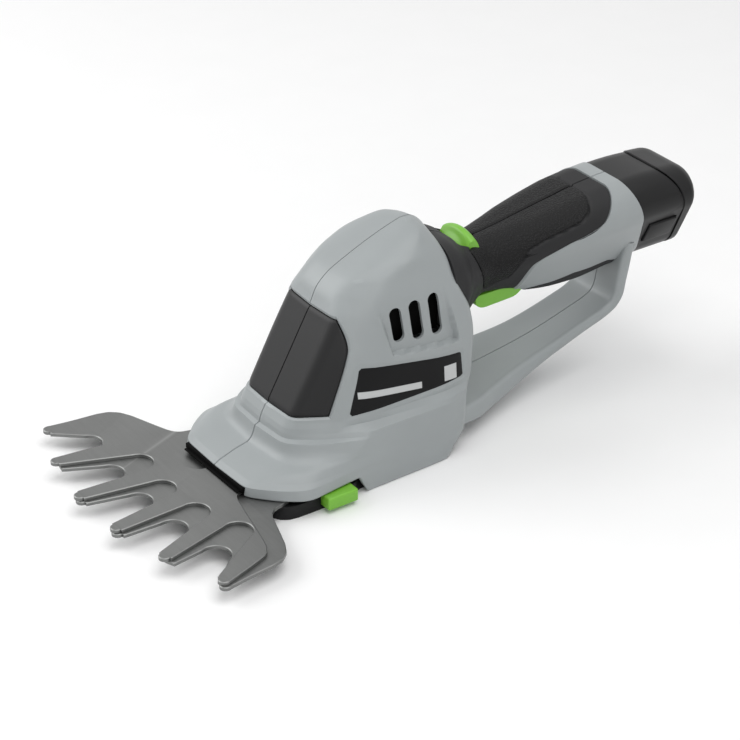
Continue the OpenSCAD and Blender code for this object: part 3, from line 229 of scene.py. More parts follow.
# Rear collar: gap to the rubber, how far its rows sink or rise, and wall
COLLAR_GAP, COLLAR_WALL = 0.5, 1.2
COLLAR_RIM = ((0, 0.5), (1, -0.3), (2, -0.22), (-2, 0.1), (-1, 0.6))
# Strip under the grip: cells, middle, height over the skin, sunk rim, seam and wall
STRIP_CELLS, STRIP_MIDDLE, STRIP_LIFT = (50, 12), 112.0, 0.35
STRIP_SUNK, STRIP_SEAM, STRIP_WALL = 0.3, 0.02, 0.9
# Textured insert and its pocket: length round the grip, cells, middle, height, rim and wall
INSERT_GIRTH, POCKET_GIRTH, POCKET_EASE, RUBBER_RIM = 70, 64.0, 0.5, 0.5
INSERT_CELLS, INSERT_MIDDLE, INSERT_LIFT = (110, 46), 75.0, 0.12
INSERT_RIM, INSERT_WALL = (0.55, 0.15), 1.0
# Room in the rubber for the trigger and the lock lever
TRIGGER_LEAD, TRIGGER_ROOM, TRIGGER_FLOOR, TRIGGER_ABOVE = 1.4, 0.6, 40, 4.5
LOCK_FRONT, LOCK_BACK, LOCK_ROOM, LOCK_DEEP, LOCK_ABOVE = 37.4, 0.4, 0.3, 10, 8
# Lock lever: cells, dish as depth, place and width, prow as lead and reach, and rounded sides
LOCK_CELLS, LOCK_DISH, LOCK_PROW = 60, (1.3, 3.2, 1.2), (2.2, 6)
LOCK_DROP, LOCK_FLAT, LOCK_TUCK = 3.4, 0.9, 0.14

# Blades: step along the edge, nearest points, radius from which the teeth are ground, and easing
BLADE_STEP, BLADE_NEAR, BLADE_EASE = 0.9, 0.3, 0.15
TEETH_FROM, TEETH_FADE = 102, 10
COVER_EDGE = 0.5
# Battery case: gaps to collar and cap, inset from the grip's skin, sunk rim and wall
CASE_FRONT_GAP, CASE_REAR_GAP, CASE_INSET, CASE_RIM, CASE_WALL = 0.35, 0.25, 0.7, 0.4, 1.6
# Battery cap: shares of its length where side and rounding begin, inset, rounding, crown and wall
CAP_LEAD, CAP_TURN, CAP_INSET, CAP_ROUND = 0.03, 0.53, 0.1, 7.0
CAP_CROWN, CAP_MIDDLE, CAP_WALL = 0.3, 165.0, 1.4
LATCH_ROOM, LATCH_REACH, LATCH_EDGE = 0.4, 6, 0.7

# Camera's way from the object and the point that it looks at, and half the floor's width in metres
CAMERA_WAY, CAMERA_TARGET = (-0.4953, -0.7098, 0.5008), (-5.58, 0, 36.13)
FLOOR_HALF = 6


def tint(red, green, blue):
    """Scene-linear colour of three display values from 0 to 255."""
    return tuple(((v / 255 + 0.055) / 1.055) ** 2.4 if v > 10 else v / 255 / 12.92
                 for v in (red, green, blue))


class ShellSettings(bpy.types.PropertyGroup):
    """Sizes and colours of the grey housing."""

    wall: FloatProperty(
        name="Wall", description="Thickness of the housing's wall", default=1.6 * MM, unit="LENGTH")
    seam: FloatProperty(
        name="Seam", description="Half the gap between the housing halves",
        default=0.22 * MM, unit="LENGTH")
    seam_depth: FloatProperty(
        name="Seam Depth", description="How far the edges at the seam are eased",
        default=0.35 * MM, unit="LENGTH")
    recess: FloatProperty(
        name="Vent Recess", description="Depth of the field round the vents",
        default=3.1 * MM, unit="LENGTH")
    vent_width: FloatProperty(
        name="Vent Width", description="Width of one vent slot", default=6.3 * MM, unit="LENGTH")
    label_depth: FloatProperty(
        name="Label Recess", description="Depth of the label's field",
        default=0.5 * MM, unit="LENGTH")
    grey: FloatVectorProperty(
        name="Grey", description="Colour of the housing",
        default=tint(149, 154, 155), subtype="COLOR")
    panel: FloatVectorProperty(
        name="Panel", description="Colour of the front panels",
        default=tint(22, 22, 23), subtype="COLOR")
    dark: FloatVectorProperty(
        name="Dark Plastic", description="Colour of the base cover and battery",
        default=tint(20, 20, 21), subtype="COLOR")


class GripSettings(bpy.types.PropertyGroup):
    """Sizes and colours of the rubber grip."""

    thickness: FloatProperty(
        name="Thickness", description="Thickness of the rubber sleeve",
        default=2.2 * MM, unit="LENGTH")
    groove: FloatProperty(
        name="Groove", description="Width of the groove round the insert",
        default=0.8 * MM, unit="LENGTH")
    pocket: FloatProperty(
        name="Pocket", description="Depth of the insert's pocket", default=0.9 * MM, unit="LENGTH")
    rubber: FloatVectorProperty(
        name="Rubber", description="Colour of the rubber",
        default=tint(36, 36, 37), subtype="COLOR")


class BladeSettings(bpy.types.PropertyGroup):
    """Sizes and colours of the blades."""

    bevel_width: FloatProperty(
        name="Bevel Width", description="Width of the ground bevel on the teeth",
        default=0.42 * MM, unit="LENGTH")
    bevel_depth: FloatProperty(
        name="Bevel Depth", description="Depth of the ground bevel on the teeth",
        default=0.34 * MM, unit="LENGTH")
    steel: FloatVectorProperty(
        name="Steel", description="Colour of the blade steel",
        default=tint(128, 129, 128), subtype="COLOR")


class ControlSettings(bpy.types.PropertyGroup):
    """Sizes and colours of the parts that the hand works."""

    edge: FloatProperty(
        name="Edge", description="Edge radius of the buttons", default=0.8 * MM, unit="LENGTH")
    green: FloatVectorProperty(
        name="Green", description="Colour of the buttons",
        default=tint(114, 178, 52), subtype="COLOR")


class StageSettings(bpy.types.PropertyGroup):
    """Camera and light."""

    distance: FloatProperty(
        name="Distance", description="From the camera to the middle of the object",
        default=1.27467, unit="LENGTH")
    lens: FloatProperty(
        name="Lens", description="Focal length", default=126.5, unit="CAMERA")
    key: FloatProperty(
        name="Key", description="Power of the key light", default=11.0, unit="POWER")
    top: FloatProperty(
        name="Top", description="Power of the top light", default=12.0, unit="POWER")
    sky: FloatProperty(
        name="Sky", description="Strength of the even light from all round", default=0.42)


def settings(name):
    return getattr(bpy.context.scene, "shears_" + name)


class Smooth:
    """A smooth curve through rows of numbers at rising places that never overshoots them."""

    def __init__(self, places, rows):
        self.places = np.array(places, float)
        self.rows = np.array(rows, float)
        slope = np.diff(self.rows, axis=0) / np.diff(self.places)[:, None]
        self.slopes = np.concatenate((slope[:1], slope))
        before, after = slope[:-1], slope[1:]
        same = before * after > 0
        total = np.where(same, before + after, 1)
        self.slopes[1:-1] = np.where(same, 2 * before * after / total, 0)

    def __call__(self, place):
        last = len(self.places) - 2
        i = min(max(int(np.searchsorted(self.places, place)) - 1, 0), last)
        step = self.places[i + 1] - self.places[i]
        t = min(max((place - self.places[i]) / step, 0.0), 1.0)
        start, end = self.rows[i], self.rows[i + 1]
        lead, tail = self.slopes[i] * step, self.slopes[i + 1] * step
        return (start * (1 + 2 * t) * (1 - t) ** 2 + lead * t * (1 - t) ** 2
                + end * t * t * (3 - 2 * t) + tail * t * t * (t - 1))


def ease(value):
    """Smooth step from 0 to 1."""
    value = np.clip(value, 0, 1)
    return value * value * (3 - 2 * value)


def outline_distance(points, x, z):
    """Distance from an outline, below zero inside it."""
    points = np.array(points, float)
    best = np.full(np.shape(x), 1e9)
    inside = np.zeros(np.shape(x), bool)
    for a, b in zip(points, np.roll(points, -1, axis=0)):
        edge = b - a
        along = np.clip(((x - a[0]) * edge[0] + (z - a[1]) * edge[1]) / (edge @ edge), 0, 1)
        best = np.minimum(best, np.hypot(x - a[0] - along * edge[0], z - a[1] - along * edge[1]))
        crosses = (a[1] > z) != (b[1] > z)
        rise = edge[1] if edge[1] else 1e-9
        inside ^= crosses & (x < a[0] + (z - a[1]) / rise * edge[0])
    return np.where(inside, -best, best)


def grid_normals(points):
    """Unit normals of a grid of points, along the first direction crossed with the second."""
    along = np.gradient(points, axis=0)
    across = np.gradient(points, axis=1)
    normal = np.cross(along, across)
    length = np.linalg.norm(normal, axis=2, keepdims=True)
    return normal / np.maximum(length, 1e-9)


def lengths(line):
    """Length along a line of points, at each of them."""
    return np.concatenate(([0], np.cumsum(np.linalg.norm(np.diff(line, axis=0), axis=1))))


def grid_of(cells, place):
    """A grid of points from a function of the shares across and up."""
    across, up = cells
    return np.array([[place(i / across, j / up) for j in range(up + 1)] for i in range(across + 1)])


def outward(points, inside):
    """Normals of a grid, turned away from a point inside it."""
    normals = grid_normals(points)
    k, j = points.shape[0] // 2, points.shape[1] // 2
    return -normals if normals[k, j] @ (points[k, j] - inside) < 0 else normals


def faces_along(points, normals):
    """Whether the faces of a grid look along the normals."""
    k, j = points.shape[0] // 2, points.shape[1] // 2
    return grid_normals(points)[k, j] @ normals[k, j] > 0


def rim_sunk(points, depths, at_seam=False):
    """How far the outer rows of a grid sink, outermost first, except on a side at a seam."""
    sunk = np.zeros(points.shape[:2])
    for row, depth in enumerate(depths):
        sunk[:, row] += depth
        sunk[:, -1 - row] += depth
        sunk[-1 - row] += depth
        if not at_seam:
            sunk[row] += depth
    return sunk[..., None]


def add_sheet(bm, points):
    """A grid of faces through points in millimetres, which face along the grid's normals."""
    across, up = points.shape[0] - 1, points.shape[1] - 1
    made = bmesh.ops.create_grid(bm, x_segments=across, y_segments=up, size=0.5)["verts"]
    for vert in made:
        i = round((vert.co.x + 0.5) * across)
        j = round((vert.co.y + 0.5) * up)
        vert.co = Vector(points[i, j]) * MM
    return made


def slab(upper, lower):
    """A closed block between two grids of points."""
    bm = bmesh.new()
    add_sheet(bm, upper)
    bottom = set(add_sheet(bm, lower))
    bmesh.ops.reverse_faces(bm, faces=[f for f in bm.faces if f.verts[0] in bottom])
    bmesh.ops.bridge_loops(bm, edges=[e for e in bm.edges if e.is_boundary])
    bmesh.ops.recalc_face_normals(bm, faces=bm.faces)
    return bm


def wall(points, normals, depth, seam=None):
    """A closed wall of some depth in millimetres behind a grid, kept on its side of a seam."""
    lower = points - normals * depth
    if seam is not None:
        lower[..., 1] = np.minimum(lower[..., 1], -seam)
        for column in (0, -1):
            near = points[column, :-POLE_ROWS, 1] > -2 * seam
            held = lower[column, :-POLE_ROWS, 1]
            lower[column, :-POLE_ROWS, 1] = np.where(near, -SEAM_TOUCH, held)
    if not faces_along(points, normals):
        points, lower = points[:, ::-1], lower[:, ::-1]
    bm = slab(points, lower)
    bmesh.ops.remove_doubles(bm, verts=bm.verts, dist=WALL_MERGE * MM)
    bmesh.ops.dissolve_degenerate(bm, edges=bm.edges, dist=WALL_SLIVER * MM)
    bmesh.ops.recalc_face_normals(bm, faces=bm.faces)
    if bm.calc_volume(signed=True) < 0:
        bmesh.ops.reverse_faces(bm, faces=bm.faces)
    return bm


def half_wall(points, normals, depth, inward=None):
    """The wall of a left half, with a hair gap at the middle plane and eased edges there."""
    shell = settings("shell")
    seam = shell.seam / MM
    for column in (0, -1):
        points[column] -= normals[column] * (shell.seam_depth / MM)
    points[..., 1] = np.minimum(points[..., 1], -seam)
    return wall(points, normals if inward is None else inward, depth, seam)


def both_halves(half, thickness):
    """A shell of some thickness in millimetres through a left half and its mirror image."""
    bm = bmesh.new()
    add_sheet(bm, half)
    whole = bm.verts[:] + bm.edges[:] + bm.faces[:]
    bmesh.ops.mirror(bm, geom=whole, axis="Y", merge_dist=HALVES_MERGE * MM)
    bmesh.ops.remove_doubles(bm, verts=bm.verts, dist=POLE_MERGE * MM)
    bmesh.ops.recalc_face_normals(bm, faces=bm.faces)
    bmesh.ops.solidify(bm, geom=bm.faces[:], thickness=thickness * MM)
    return bm


def add_block(bm, low, high, edge=0.0):
    """A box between two corners in millimetres with its edges rounded."""
    size = [(high[k] - low[k]) * MM for k in range(3)]
    middle = [(high[k] + low[k]) / 2 for k in range(3)]
    place = Matrix.Translation(Vector(middle) * MM) @ Matrix.Diagonal((*size, 1))
    made = bmesh.ops.create_cube(bm, size=1, matrix=place)["verts"]
    if edge:
        edges = list({e for v in made for e in v.link_edges})
        bmesh.ops.bevel(bm, geom=edges, offset=edge * MM, offset_type="OFFSET", affect="EDGES",
                        segments=2, profile=0.5, material=-1)


def add_round(bm, start, end, radius, closed=True):
    """A rod or an open tube between two points in millimetres."""
    start, end = Vector(start) * MM, Vector(end) * MM
    axis = end - start
    turn = axis.to_track_quat("Z", "Y").to_matrix().to_4x4()
    bmesh.ops.create_cone(bm, cap_ends=closed, segments=ROUND_SIDES, radius1=radius * MM,
                          radius2=radius * MM, depth=axis.length,
                          matrix=Matrix.Translation((start + end) / 2) @ turn)


def add_vent(bm, low, high, radius):
    """A cutter for one round-ended vent between two places on the side, in millimetres."""
    way = Vector((high[0] - low[0], 0, high[1] - low[1]))
    middle = Vector(((low[0] + high[0]) / 2, VENT_MIDDLE, (low[1] + high[1]) / 2)) * MM
    turn = Matrix.Rotation(math.atan2(way.x, way.z), 4, "Y")
    size = Vector((2 * radius, VENT_REACH, way.length + 2 * radius)) * MM
    made = bmesh.ops.create_cube(bm, size=1, matrix=Matrix.Diagonal((*size, 1)))["verts"]
    through = {e for v in made for e in v.link_edges
               if abs(e.verts[0].co.y - e.verts[1].co.y) > size.y / 2}
    made = bmesh.ops.bevel(bm, geom=list(through), offset=radius * VENT_ROUND * MM,
                           offset_type="OFFSET", affect="EDGES", segments=8, profile=0.5,
                           material=-1)["verts"]
    group = set(made)
    for vert in made:
        group |= {e.other_vert(vert) for e in vert.link_edges}
    bmesh.ops.transform(bm, matrix=Matrix.Translation(middle) @ turn, verts=list(group))


def tube(rings):
    """A closed solid through a row of rings of points in millimetres."""
    bm = bmesh.new()
    stack = [[bm.verts.new(Vector(p) * MM) for p in ring] for ring in rings]
    for before, after in zip(stack, stack[1:]):
        for k in range(len(before)):
            bm.faces.new((before[k - 1], before[k], after[k], after[k - 1]))
    bm.faces.new(stack[0])
    bm.faces.new(stack[-1])
    bmesh.ops.remove_doubles(bm, verts=bm.verts, dist=TUBE_MERGE * MM)
    bmesh.ops.recalc_face_normals(bm, faces=bm.faces)
    return bm


def mirrored(bm):
    """A copy on the other side of the middle plane."""
    other = bm.copy()
    bmesh.ops.scale(other, vec=(1, -1, 1), verts=other.verts)
    bmesh.ops.reverse_faces(other, faces=other.faces)
    return other


def new_object(bm, name):
    mesh = bpy.data.meshes.new(name)
    bm.to_mesh(mesh)
    bm.free()
    made = bpy.data.objects.new(name, mesh)
    bpy.context.scene.collection.objects.link(made)
    return made


def twin(piece, name):
    """The mirror image of a piece."""
    bm = bmesh.new()
    bm.from_mesh(piece.data)
    other = new_object(mirrored(bm), name)
    bm.free()
    return other


def settle(made):
    """Applies an object's modifiers to its mesh."""
    bpy.context.view_layer.update()
    evaluated = made.evaluated_get(bpy.context.evaluated_depsgraph_get())
    mesh = bpy.data.meshes.new_from_object(evaluated)
    old = made.data
    made.modifiers.clear()
    made.data = mesh
    bpy.data.meshes.remove(old)


def cut_away(made, bm, name):
    """Cuts an object by a closed mesh, which is removed."""
    cutter = new_object(bm, name)
    cut = made.modifiers.new("Cut", "BOOLEAN")
    cut.operation = "DIFFERENCE"
    cut.solver = "MANIFOLD"
    cut.object = cutter
    settle(made)
    if not made.data.polygons:
        raise RuntimeError(made.name + " was cut away whole")
    bpy.data.objects.remove(cutter)


def finish_piece(made, finish, body, stands_for=(), crease=32):
    """Materials, shading and the body that a piece rides on."""
    made.data.materials.clear()
    for name in (finish,) if isinstance(finish, str) else finish:
        made.data.materials.append(FINISHES[name])
    made.data.shade_smooth()
    made.data.set_sharp_from_angle(angle=math.radians(crease))
    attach(made, body)
    if stands_for:
        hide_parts(*stands_for)


def finish_pair(bm, name, finish, node=None):
    """A left piece of the housing and its mirror image."""
    other = mirrored(bm)
    for made, side in ((bm, "left_"), (other, "right_")):
        stands_for = (side + node,) if node else ()
        finish_piece(new_object(made, side + name), finish, "housing", stands_for)


def painted_shade_blocks(name, blocks):
    """Black blocks of painted shade that close the view behind an opening of the housing."""
    bm = bmesh.new()
    for low, high, edge in blocks:
        add_block(bm, low, high, edge)
    finish_piece(new_object(bm, name), "hollow", "housing")


def softened(node, name, edge, angle=35, segments=2):
    """A copy of a CAD node with its flat faces joined and its edges rounded."""
    bm = bmesh.new()
    bm.from_mesh(frame["nodes"][node].data)
    bmesh.ops.remove_doubles(bm, verts=bm.verts, dist=SOFT_MERGE * MM)
    bmesh.ops.dissolve_limit(bm, angle_limit=math.radians(FLAT_ANGLE), verts=bm.verts,
                             edges=bm.edges)
    sharp = [e for e in bm.edges
             if len(e.link_faces) == 2 and e.calc_face_angle(0) > math.radians(angle)]
    bmesh.ops.bevel(bm, geom=sharp, offset=edge, offset_type="OFFSET", affect="EDGES",
                    segments=segments, profile=0.5, material=-1, clamp_overlap=True)
    return new_object(bm, name)


class Wire:
    """A value between shader nodes that Python's own signs can work with."""

    def __init__(self, nodes, socket):
        self.nodes = nodes
        self.socket = socket

    def sum(self, operation, first, second):
        node = self.nodes.node("ShaderNodeMath", {"operation": operation}, {0: first, 1: second})
        return Wire(self.nodes, node.outputs[0])

    def __add__(self, other):
        return self.sum("ADD", self, other)

    def __radd__(self, other):
        return self.sum("ADD", other, self)

    def __sub__(self, other):
        return self.sum("SUBTRACT", self, other)

    def __rsub__(self, other):
        return self.sum("SUBTRACT", other, self)

    def __mul__(self, other):
        return self.sum("MULTIPLY", self, other)

    def __rmul__(self, other):
        return self.sum("MULTIPLY", other, self)

    def __gt__(self, other):
        return self.sum("GREATER_THAN", self, other)

    def __lt__(self, other):
        return self.sum("LESS_THAN", self, other)

    def largest(self, other):
        return self.sum("MAXIMUM", self, other)


class Nodes:
    """A node tree and the one way in which nodes come into it."""

    def __init__(self, tree):
        self.tree = tree

    def feed(self, socket, value):
        if isinstance(value, Wire):
            value = value.socket
        if isinstance(value, bpy.types.NodeSocket):
            self.tree.links.new(value, socket)
        elif hasattr(value, "__len__"):
            socket.default_value = (*value, 1.0)[:len(socket.default_value)]
        else:
            socket.default_value = value

    def node(self, kind, chosen=None, sockets=None):
        """A node of any other kind: its settings first, then its sockets' values or links."""
        node = self.tree.nodes.new(kind)
        for key, value in (chosen or {}).items():
            setattr(node, key, value)
        for key, value in (sockets or {}).items():
            self.feed(node.inputs[key], value)
        return node


class Finish(Nodes):
    """One material and the nodes that make it."""

    def __init__(self, name, **sockets):
        self.material = bpy.data.materials.new(name)
        self.material.use_nodes = True
        super().__init__(self.material.node_tree)
        self.shader = self.tree.nodes["Principled BSDF"]
        for socket, value in sockets.items():
            self.feed(self.shader.inputs[socket.replace("_", " ")], value)
        self.place = self.node("ShaderNodeTexCoord").outputs["Object"]

    def stretched(self, scale):
        node = self.node("ShaderNodeMapping", None, {"Vector": self.place, "Scale": scale})
        return node.outputs["Vector"]

    def noise(self, scale, detail=2.0, place=None):
        node = self.node("ShaderNodeTexNoise", None,
                         {"Vector": place or self.place, "Scale": scale, "Detail": detail})
        return Wire(self, node.outputs[0])

    def cells(self, scale):
        node = self.node("ShaderNodeTexVoronoi", {"feature": "F1"},
                         {"Vector": self.place, "Scale": scale})
        return Wire(self, node.outputs["Distance"])

    def painted_edge_highlight(self, gain):
        """Painted highlight: above zero on raised edges, by how sharp they are."""
        sharp = Wire(self, self.node("ShaderNodeNewGeometry").outputs["Pointiness"])
        return ((sharp - 0.5) * gain).largest(0.0)

    def axes(self):
        node = self.node("ShaderNodeSeparateXYZ", None, {"Vector": self.place})
        return [Wire(self, socket) for socket in node.outputs]

    def mixed(self, factor, first, second):
        node = self.node("ShaderNodeMix", {"data_type": "RGBA"},
                         {"Factor": factor, 6: first, 7: second})
        return node.outputs[2]

    def colour(self, value):
        self.feed(self.shader.inputs["Base Color"], value)

    def rough(self, value):
        self.feed(self.shader.inputs["Roughness"], value)

    def bump(self, height, strength, depth):
        """Relief of some depth in millimetres."""
        node = self.node("ShaderNodeBump", None,
                         {"Height": height, "Strength": strength, "Distance": depth * MM})
        self.feed(self.shader.inputs["Normal"], node.outputs["Normal"])


def shade(colour, factor):
    return tuple(min(v * factor, 1.0) for v in colour)


def moulded(name, colour, rough, grain, size, highlight_share, shine):
    """Moulded plastic: fine spark grain, faint flow clouds and edges lightened as a painted
    highlight.
    """
    made = Finish(name, Specular_IOR_Level=shine)
    clouds = made.noise(scale=38.0, detail=3.0)
    fine = made.noise(scale=size)
    base = made.mixed(clouds, shade(colour, 0.94), shade(colour, 1.06))
    # painted highlight: sharp edges made lighter
    made.colour(made.mixed(made.painted_edge_highlight(gain=9.0) * highlight_share, base, shade(colour, 1.45)))
    made.rough(rough - 0.05 + clouds * 0.06 + fine * 0.05)
    made.bump(fine, strength=grain, depth=0.12)
    return made.material


def pebbled(name, colour):
    """Rubber with a raised pebble texture and painted highlights on the pebble tops."""
    made = Finish(name, Specular_IOR_Level=0.2)
    dome = 1.0 - made.cells(scale=1150.0) * 1.5
    fine = made.noise(scale=2600.0)
    clouds = made.noise(scale=60.0)
    # painted highlight: bright dots on the pebble tops over a darker base
    painted_pebble_highlight = ((dome - 0.45) * 2.2).largest(0.0)
    made.colour(made.mixed(painted_pebble_highlight * 0.8 + clouds * 0.1, shade(colour, 0.3), shade(colour, 3.4)))
    made.rough(0.46 + clouds * 0.12)
    made.bump(dome + fine * 0.15, strength=0.75, depth=0.35)
    return made.material


def rubbery(name, colour):
    """Smooth matt rubber with a fine skin and painted highlights on its sharp edges."""
    made = Finish(name, Specular_IOR_Level=0.22)
    clouds = made.noise(scale=45.0, detail=3.0)
    fine = made.noise(scale=1800.0, detail=3.0)
    base = made.mixed(clouds, shade(colour, 0.86), shade(colour, 1.14))
    # painted highlight: sharp edges made much lighter
    made.colour(made.mixed(made.painted_edge_highlight(gain=8.0) * 0.3, base, shade(colour, 2.2)))
    made.rough(0.55 + (clouds - 0.5) * 0.14)
    made.bump(fine, strength=0.12, depth=0.1)
    return made.material


def brushed(name, colour, rough, stretch):
    """Ground metal with fine lines along one way, some stains and painted highlights on its edges.
    """
    made = Finish(name, Metallic=1.0)
    lines = made.noise(scale=1.0, detail=3.0, place=made.stretched(stretch))
    stains = made.noise(scale=26.0, detail=4.0)
    spots = made.noise(scale=300.0)
    streaks = lines * 0.55 + stains * 0.45
    base = made.mixed(streaks, shade(colour, 0.66), shade(colour, 1.3))
    # painted highlight: sharp edges made lighter
    made.colour(made.mixed(made.painted_edge_highlight(gain=7.0) * 0.6, base, shade(colour, 1.9)))
    made.rough(rough + (stains - 0.5) * 0.16 + (lines - 0.5) * 0.14 + (spots - 0.5) * 0.06)
    made.bump(lines, strength=0.16, depth=0.06)
    return made.material


def cast_metal(name, colour, rough, grain):
    """Plain metal with a slightly uneven skin."""
    made = Finish(name, Metallic=1.0)
    skin = made.noise(scale=520.0, detail=4.0)
    clouds = made.noise(scale=40.0)
    made.colour(made.mixed(clouds, shade(colour, 0.8), shade(colour, 1.15)))
    made.rough(rough + (clouds - 0.5) * 0.16)
    made.bump(skin, strength=grain, depth=0.08)
    return made.material


def printed_label(colour, pale):
    """Dark film with blank pale fields."""
    made = Finish("label_film", Specular_IOR_Level=0.14)
    x, _, z = made.axes()
    clouds = made.noise(scale=70.0)
    fine = made.noise(scale=2200.0)

    def field(x0, x1, z0, z1, slope):
        lean = z + x * slope
        return (x > x0 * MM) * (x < x1 * MM) * (lean > z0 * MM) * (lean < z1 * MM)

    bar, square = LABEL_FIELDS
    dark = made.mixed(clouds, shade(colour, 0.9), shade(colour, 1.15))
    made.colour(made.mixed(field(*bar) + field(*square), dark, pale))
    made.rough(0.34 + clouds * 0.08)
    made.bump(fine, strength=0.04, depth=0.05)
    return made.material


FINISHES = {}


def make_finishes():
    """Every material of the object, by its slot or its place."""
    shell, rubber = settings("shell"), tuple(settings("grip").rubber)
    steel, green = tuple(settings("blade").steel), tuple(settings("control").green)
    grey, dark, panel = tuple(shell.grey), tuple(shell.dark), tuple(shell.panel)
    # Name, colour, roughness, depth and fineness of the grain, painted edge highlight and shine
    plastics = {
        "grey_shell": ("grey_plastic", grey, 0.40, 0.05, 1500.0, 0.14, 0.5),
        "gloss_panel": ("satin_panel", panel, 0.40, 0.03, 1900.0, 0.1, 0.3),
        "dark_plastic": ("dark_plastic", dark, 0.42, 0.06, 1300.0, 0.25, 0.2),
        "battery_plastic": ("battery_plastic", shade(dark, 0.85), 0.36, 0.05, 1500.0, 0.25, 0.25),
        "green_plastic": ("green_plastic", green, 0.36, 0.04, 1500.0, 0.15, 0.5),
        "board": ("board_laminate", tint(40, 96, 58), 0.45, 0.08, 900.0, 0.1, 0.5),
        "lead_cover": ("lead_cover", tint(60, 40, 40), 0.45, 0.05, 1200.0, 0.1, 0.5),
        "cell_wrap": ("cell_wrap", tint(60, 105, 170), 0.35, 0.03, 900.0, 0.1, 0.5),
        # painted shade: near-black finish for the blocks behind openings
        "hollow": ("hollow_dark", tint(10, 10, 10), 0.7, 0.05, 900.0, 0.0, 0.05),
    }
    # Name, colour, roughness and depth of the skin
    plain_metals = {
        "plain_steel": ("plain_steel", tint(170, 170, 168), 0.32, 0.1),
        "cast_alloy": ("cast_alloy", tint(150, 152, 154), 0.5, 0.4),
        "magnet": ("magnet_ferrite", tint(60, 60, 64), 0.6, 0.3),
        "brass": ("brass", tint(205, 170, 90), 0.3, 0.1),
    }
    # Name, colour, roughness and fineness of the lines along each axis
    lined_metals = {
        "blade_steel": ("blade_steel", shade(steel, 0.72), 0.44, (900, 60, 300)),
        "ground_steel": ("ground_bevel", shade(steel, 0.8), 0.4, (60, 900, 300)),
        "copper": ("copper_winding", tint(190, 115, 65), 0.35, (300, 2200, 300)),
    }
    for make, rows in ((moulded, plastics), (cast_metal, plain_metals), (brushed, lined_metals)):
        for slot, row in rows.items():
            FINISHES[slot] = make(*row)
    FINISHES["grip_rubber"] = rubbery("grip_rubber", rubber)
    FINISHES["grip_insert"] = pebbled("grip_insert", shade(rubber, 0.5))
    FINISHES["label"] = printed_label(tint(17, 17, 18), tint(190, 192, 192))


def row_change(a, b):
    """The longest way that a point of the head's outline goes from one row to another."""
    return np.abs(b - a)[:ROW_VALUES].max()


class Head:
    """The smooth outline of the head's left half, in millimetres with half widths counted up."""

    def __init__(self):
        plain, rows = [], []
        for height, *points in HEAD_ROWS:
            block = BLOCK_HEIGHTS[0] < height < BLOCK_HEIGHTS[1]
            corners = BLOCK_CORNERS if block else SOFT_CORNERS
            places = [v for point in points for v in point]
            plain.append(np.array([height, *places, *corners], float))
        for i, row in enumerate(plain):
            near = [row]
            if row[0] in CRISP_HEIGHTS:
                before, after = [
                    row + (other - row) * min(CRISP_LIMIT, CRISP_EASE / row_change(row, other))
                    for other in (plain[i - 1], plain[i + 1])]
                near = [before, row, after]
            rows += near
        self.curve = Smooth(range(len(rows)), rows)
        self.last = len(rows) - 1
        self.cells = [max(1, round(row_change(a, b) / ROW_STEP)) for a, b in zip(rows, rows[1:])]
        self.columns = [("side", 0, 0.0), ("side", 0, SEAM_CELL)]
        for i, cells in enumerate(SIDE_CELLS):
            self.columns += [("side", i, (k + 1) / (cells + 1)) for k in range(cells)]
            if i < len(CORNER_CELLS):
                around = CORNER_CELLS[i]
                self.columns += [("corner", i + 1, k / around) for k in range(around + 1)]
        self.columns += [("side", len(CORNER_CELLS), t) for t in (1 - SEAM_CELL, 1.0)]
        self.steps = np.linspace(0, self.last, HEIGHT_SAMPLES * len(rows))
        self.heights = np.array([self.curve(t)[0] for t in self.steps])

    def ring(self, step):
        """The outline at one step up the rows: its height, then x and half width by column."""
        values = self.curve(step)
        points = values[1:ROW_VALUES].reshape(-1, 2)
        backs = values[ROW_VALUES:]
        enter, leave = points.copy(), points.copy()
        for i in range(1, len(points) - 1):
            for side, other in ((enter, points[i - 1]), (leave, points[i + 1])):
                way = other - points[i]
                length = np.linalg.norm(way)
                side[i] = points[i] + way * min(backs[i], CORNER_LIMIT * length) / length
        line = []
        for kind, i, t in self.columns:
            if kind == "side":
                line.append(leave[i] * (1 - t) + enter[i + 1] * t)
            else:
                first = enter[i] * (1 - t) + points[i] * t
                second = points[i] * (1 - t) + leave[i] * t
                line.append(first * (1 - t) + second * t)
        return values[0], np.array(line)

    def at_height(self, height):
        return self.ring(float(np.interp(height, self.heights, self.steps)))[1]

    def side(self, x, height):
        """Half width of the head's side at x."""
        line = self.at_height(height)[self.column("corner", 2):self.column("side", 6)]
        return float(np.interp(x, line[:, 0], line[:, 1]))

    def column(self, kind, i):
        return next(k for k, c in enumerate(self.columns) if c[:2] == (kind, i))

    def skin(self):
        """Grid of the skin from the lower edge to the top, before its dents."""
        base, above = self.ring(0)[1], self.ring(1)[1]
        foot, high = HEAD_ROWS[0][0], HEAD_ROWS[1][0]
        low = np.interp(base[:, 0], *zip(*SKIRT_EDGE))
        rows = []
        for k in range(SKIRT_CELLS):
            height = low + (high - low) * k / SKIRT_CELLS
            share = np.clip((height - foot) / (high - foot), 0, 1)[:, None]
            rows.append((base * (1 - share) + above * share, height))
        steps = [i + k / cells for i, cells in enumerate(self.cells) if i for k in range(cells)]
        for step in (*steps, self.last):
            height, line = self.ring(step)
            rows.append((line, np.full(len(line), height)))
        rows = [np.column_stack((line[:, 0], -line[:, 1], height)) for line, height in rows]
        rows.append(np.tile((HEAD_TOP[0], 0, HEAD_TOP[1]), (len(base), 1)))
        return np.stack(rows, axis=1)


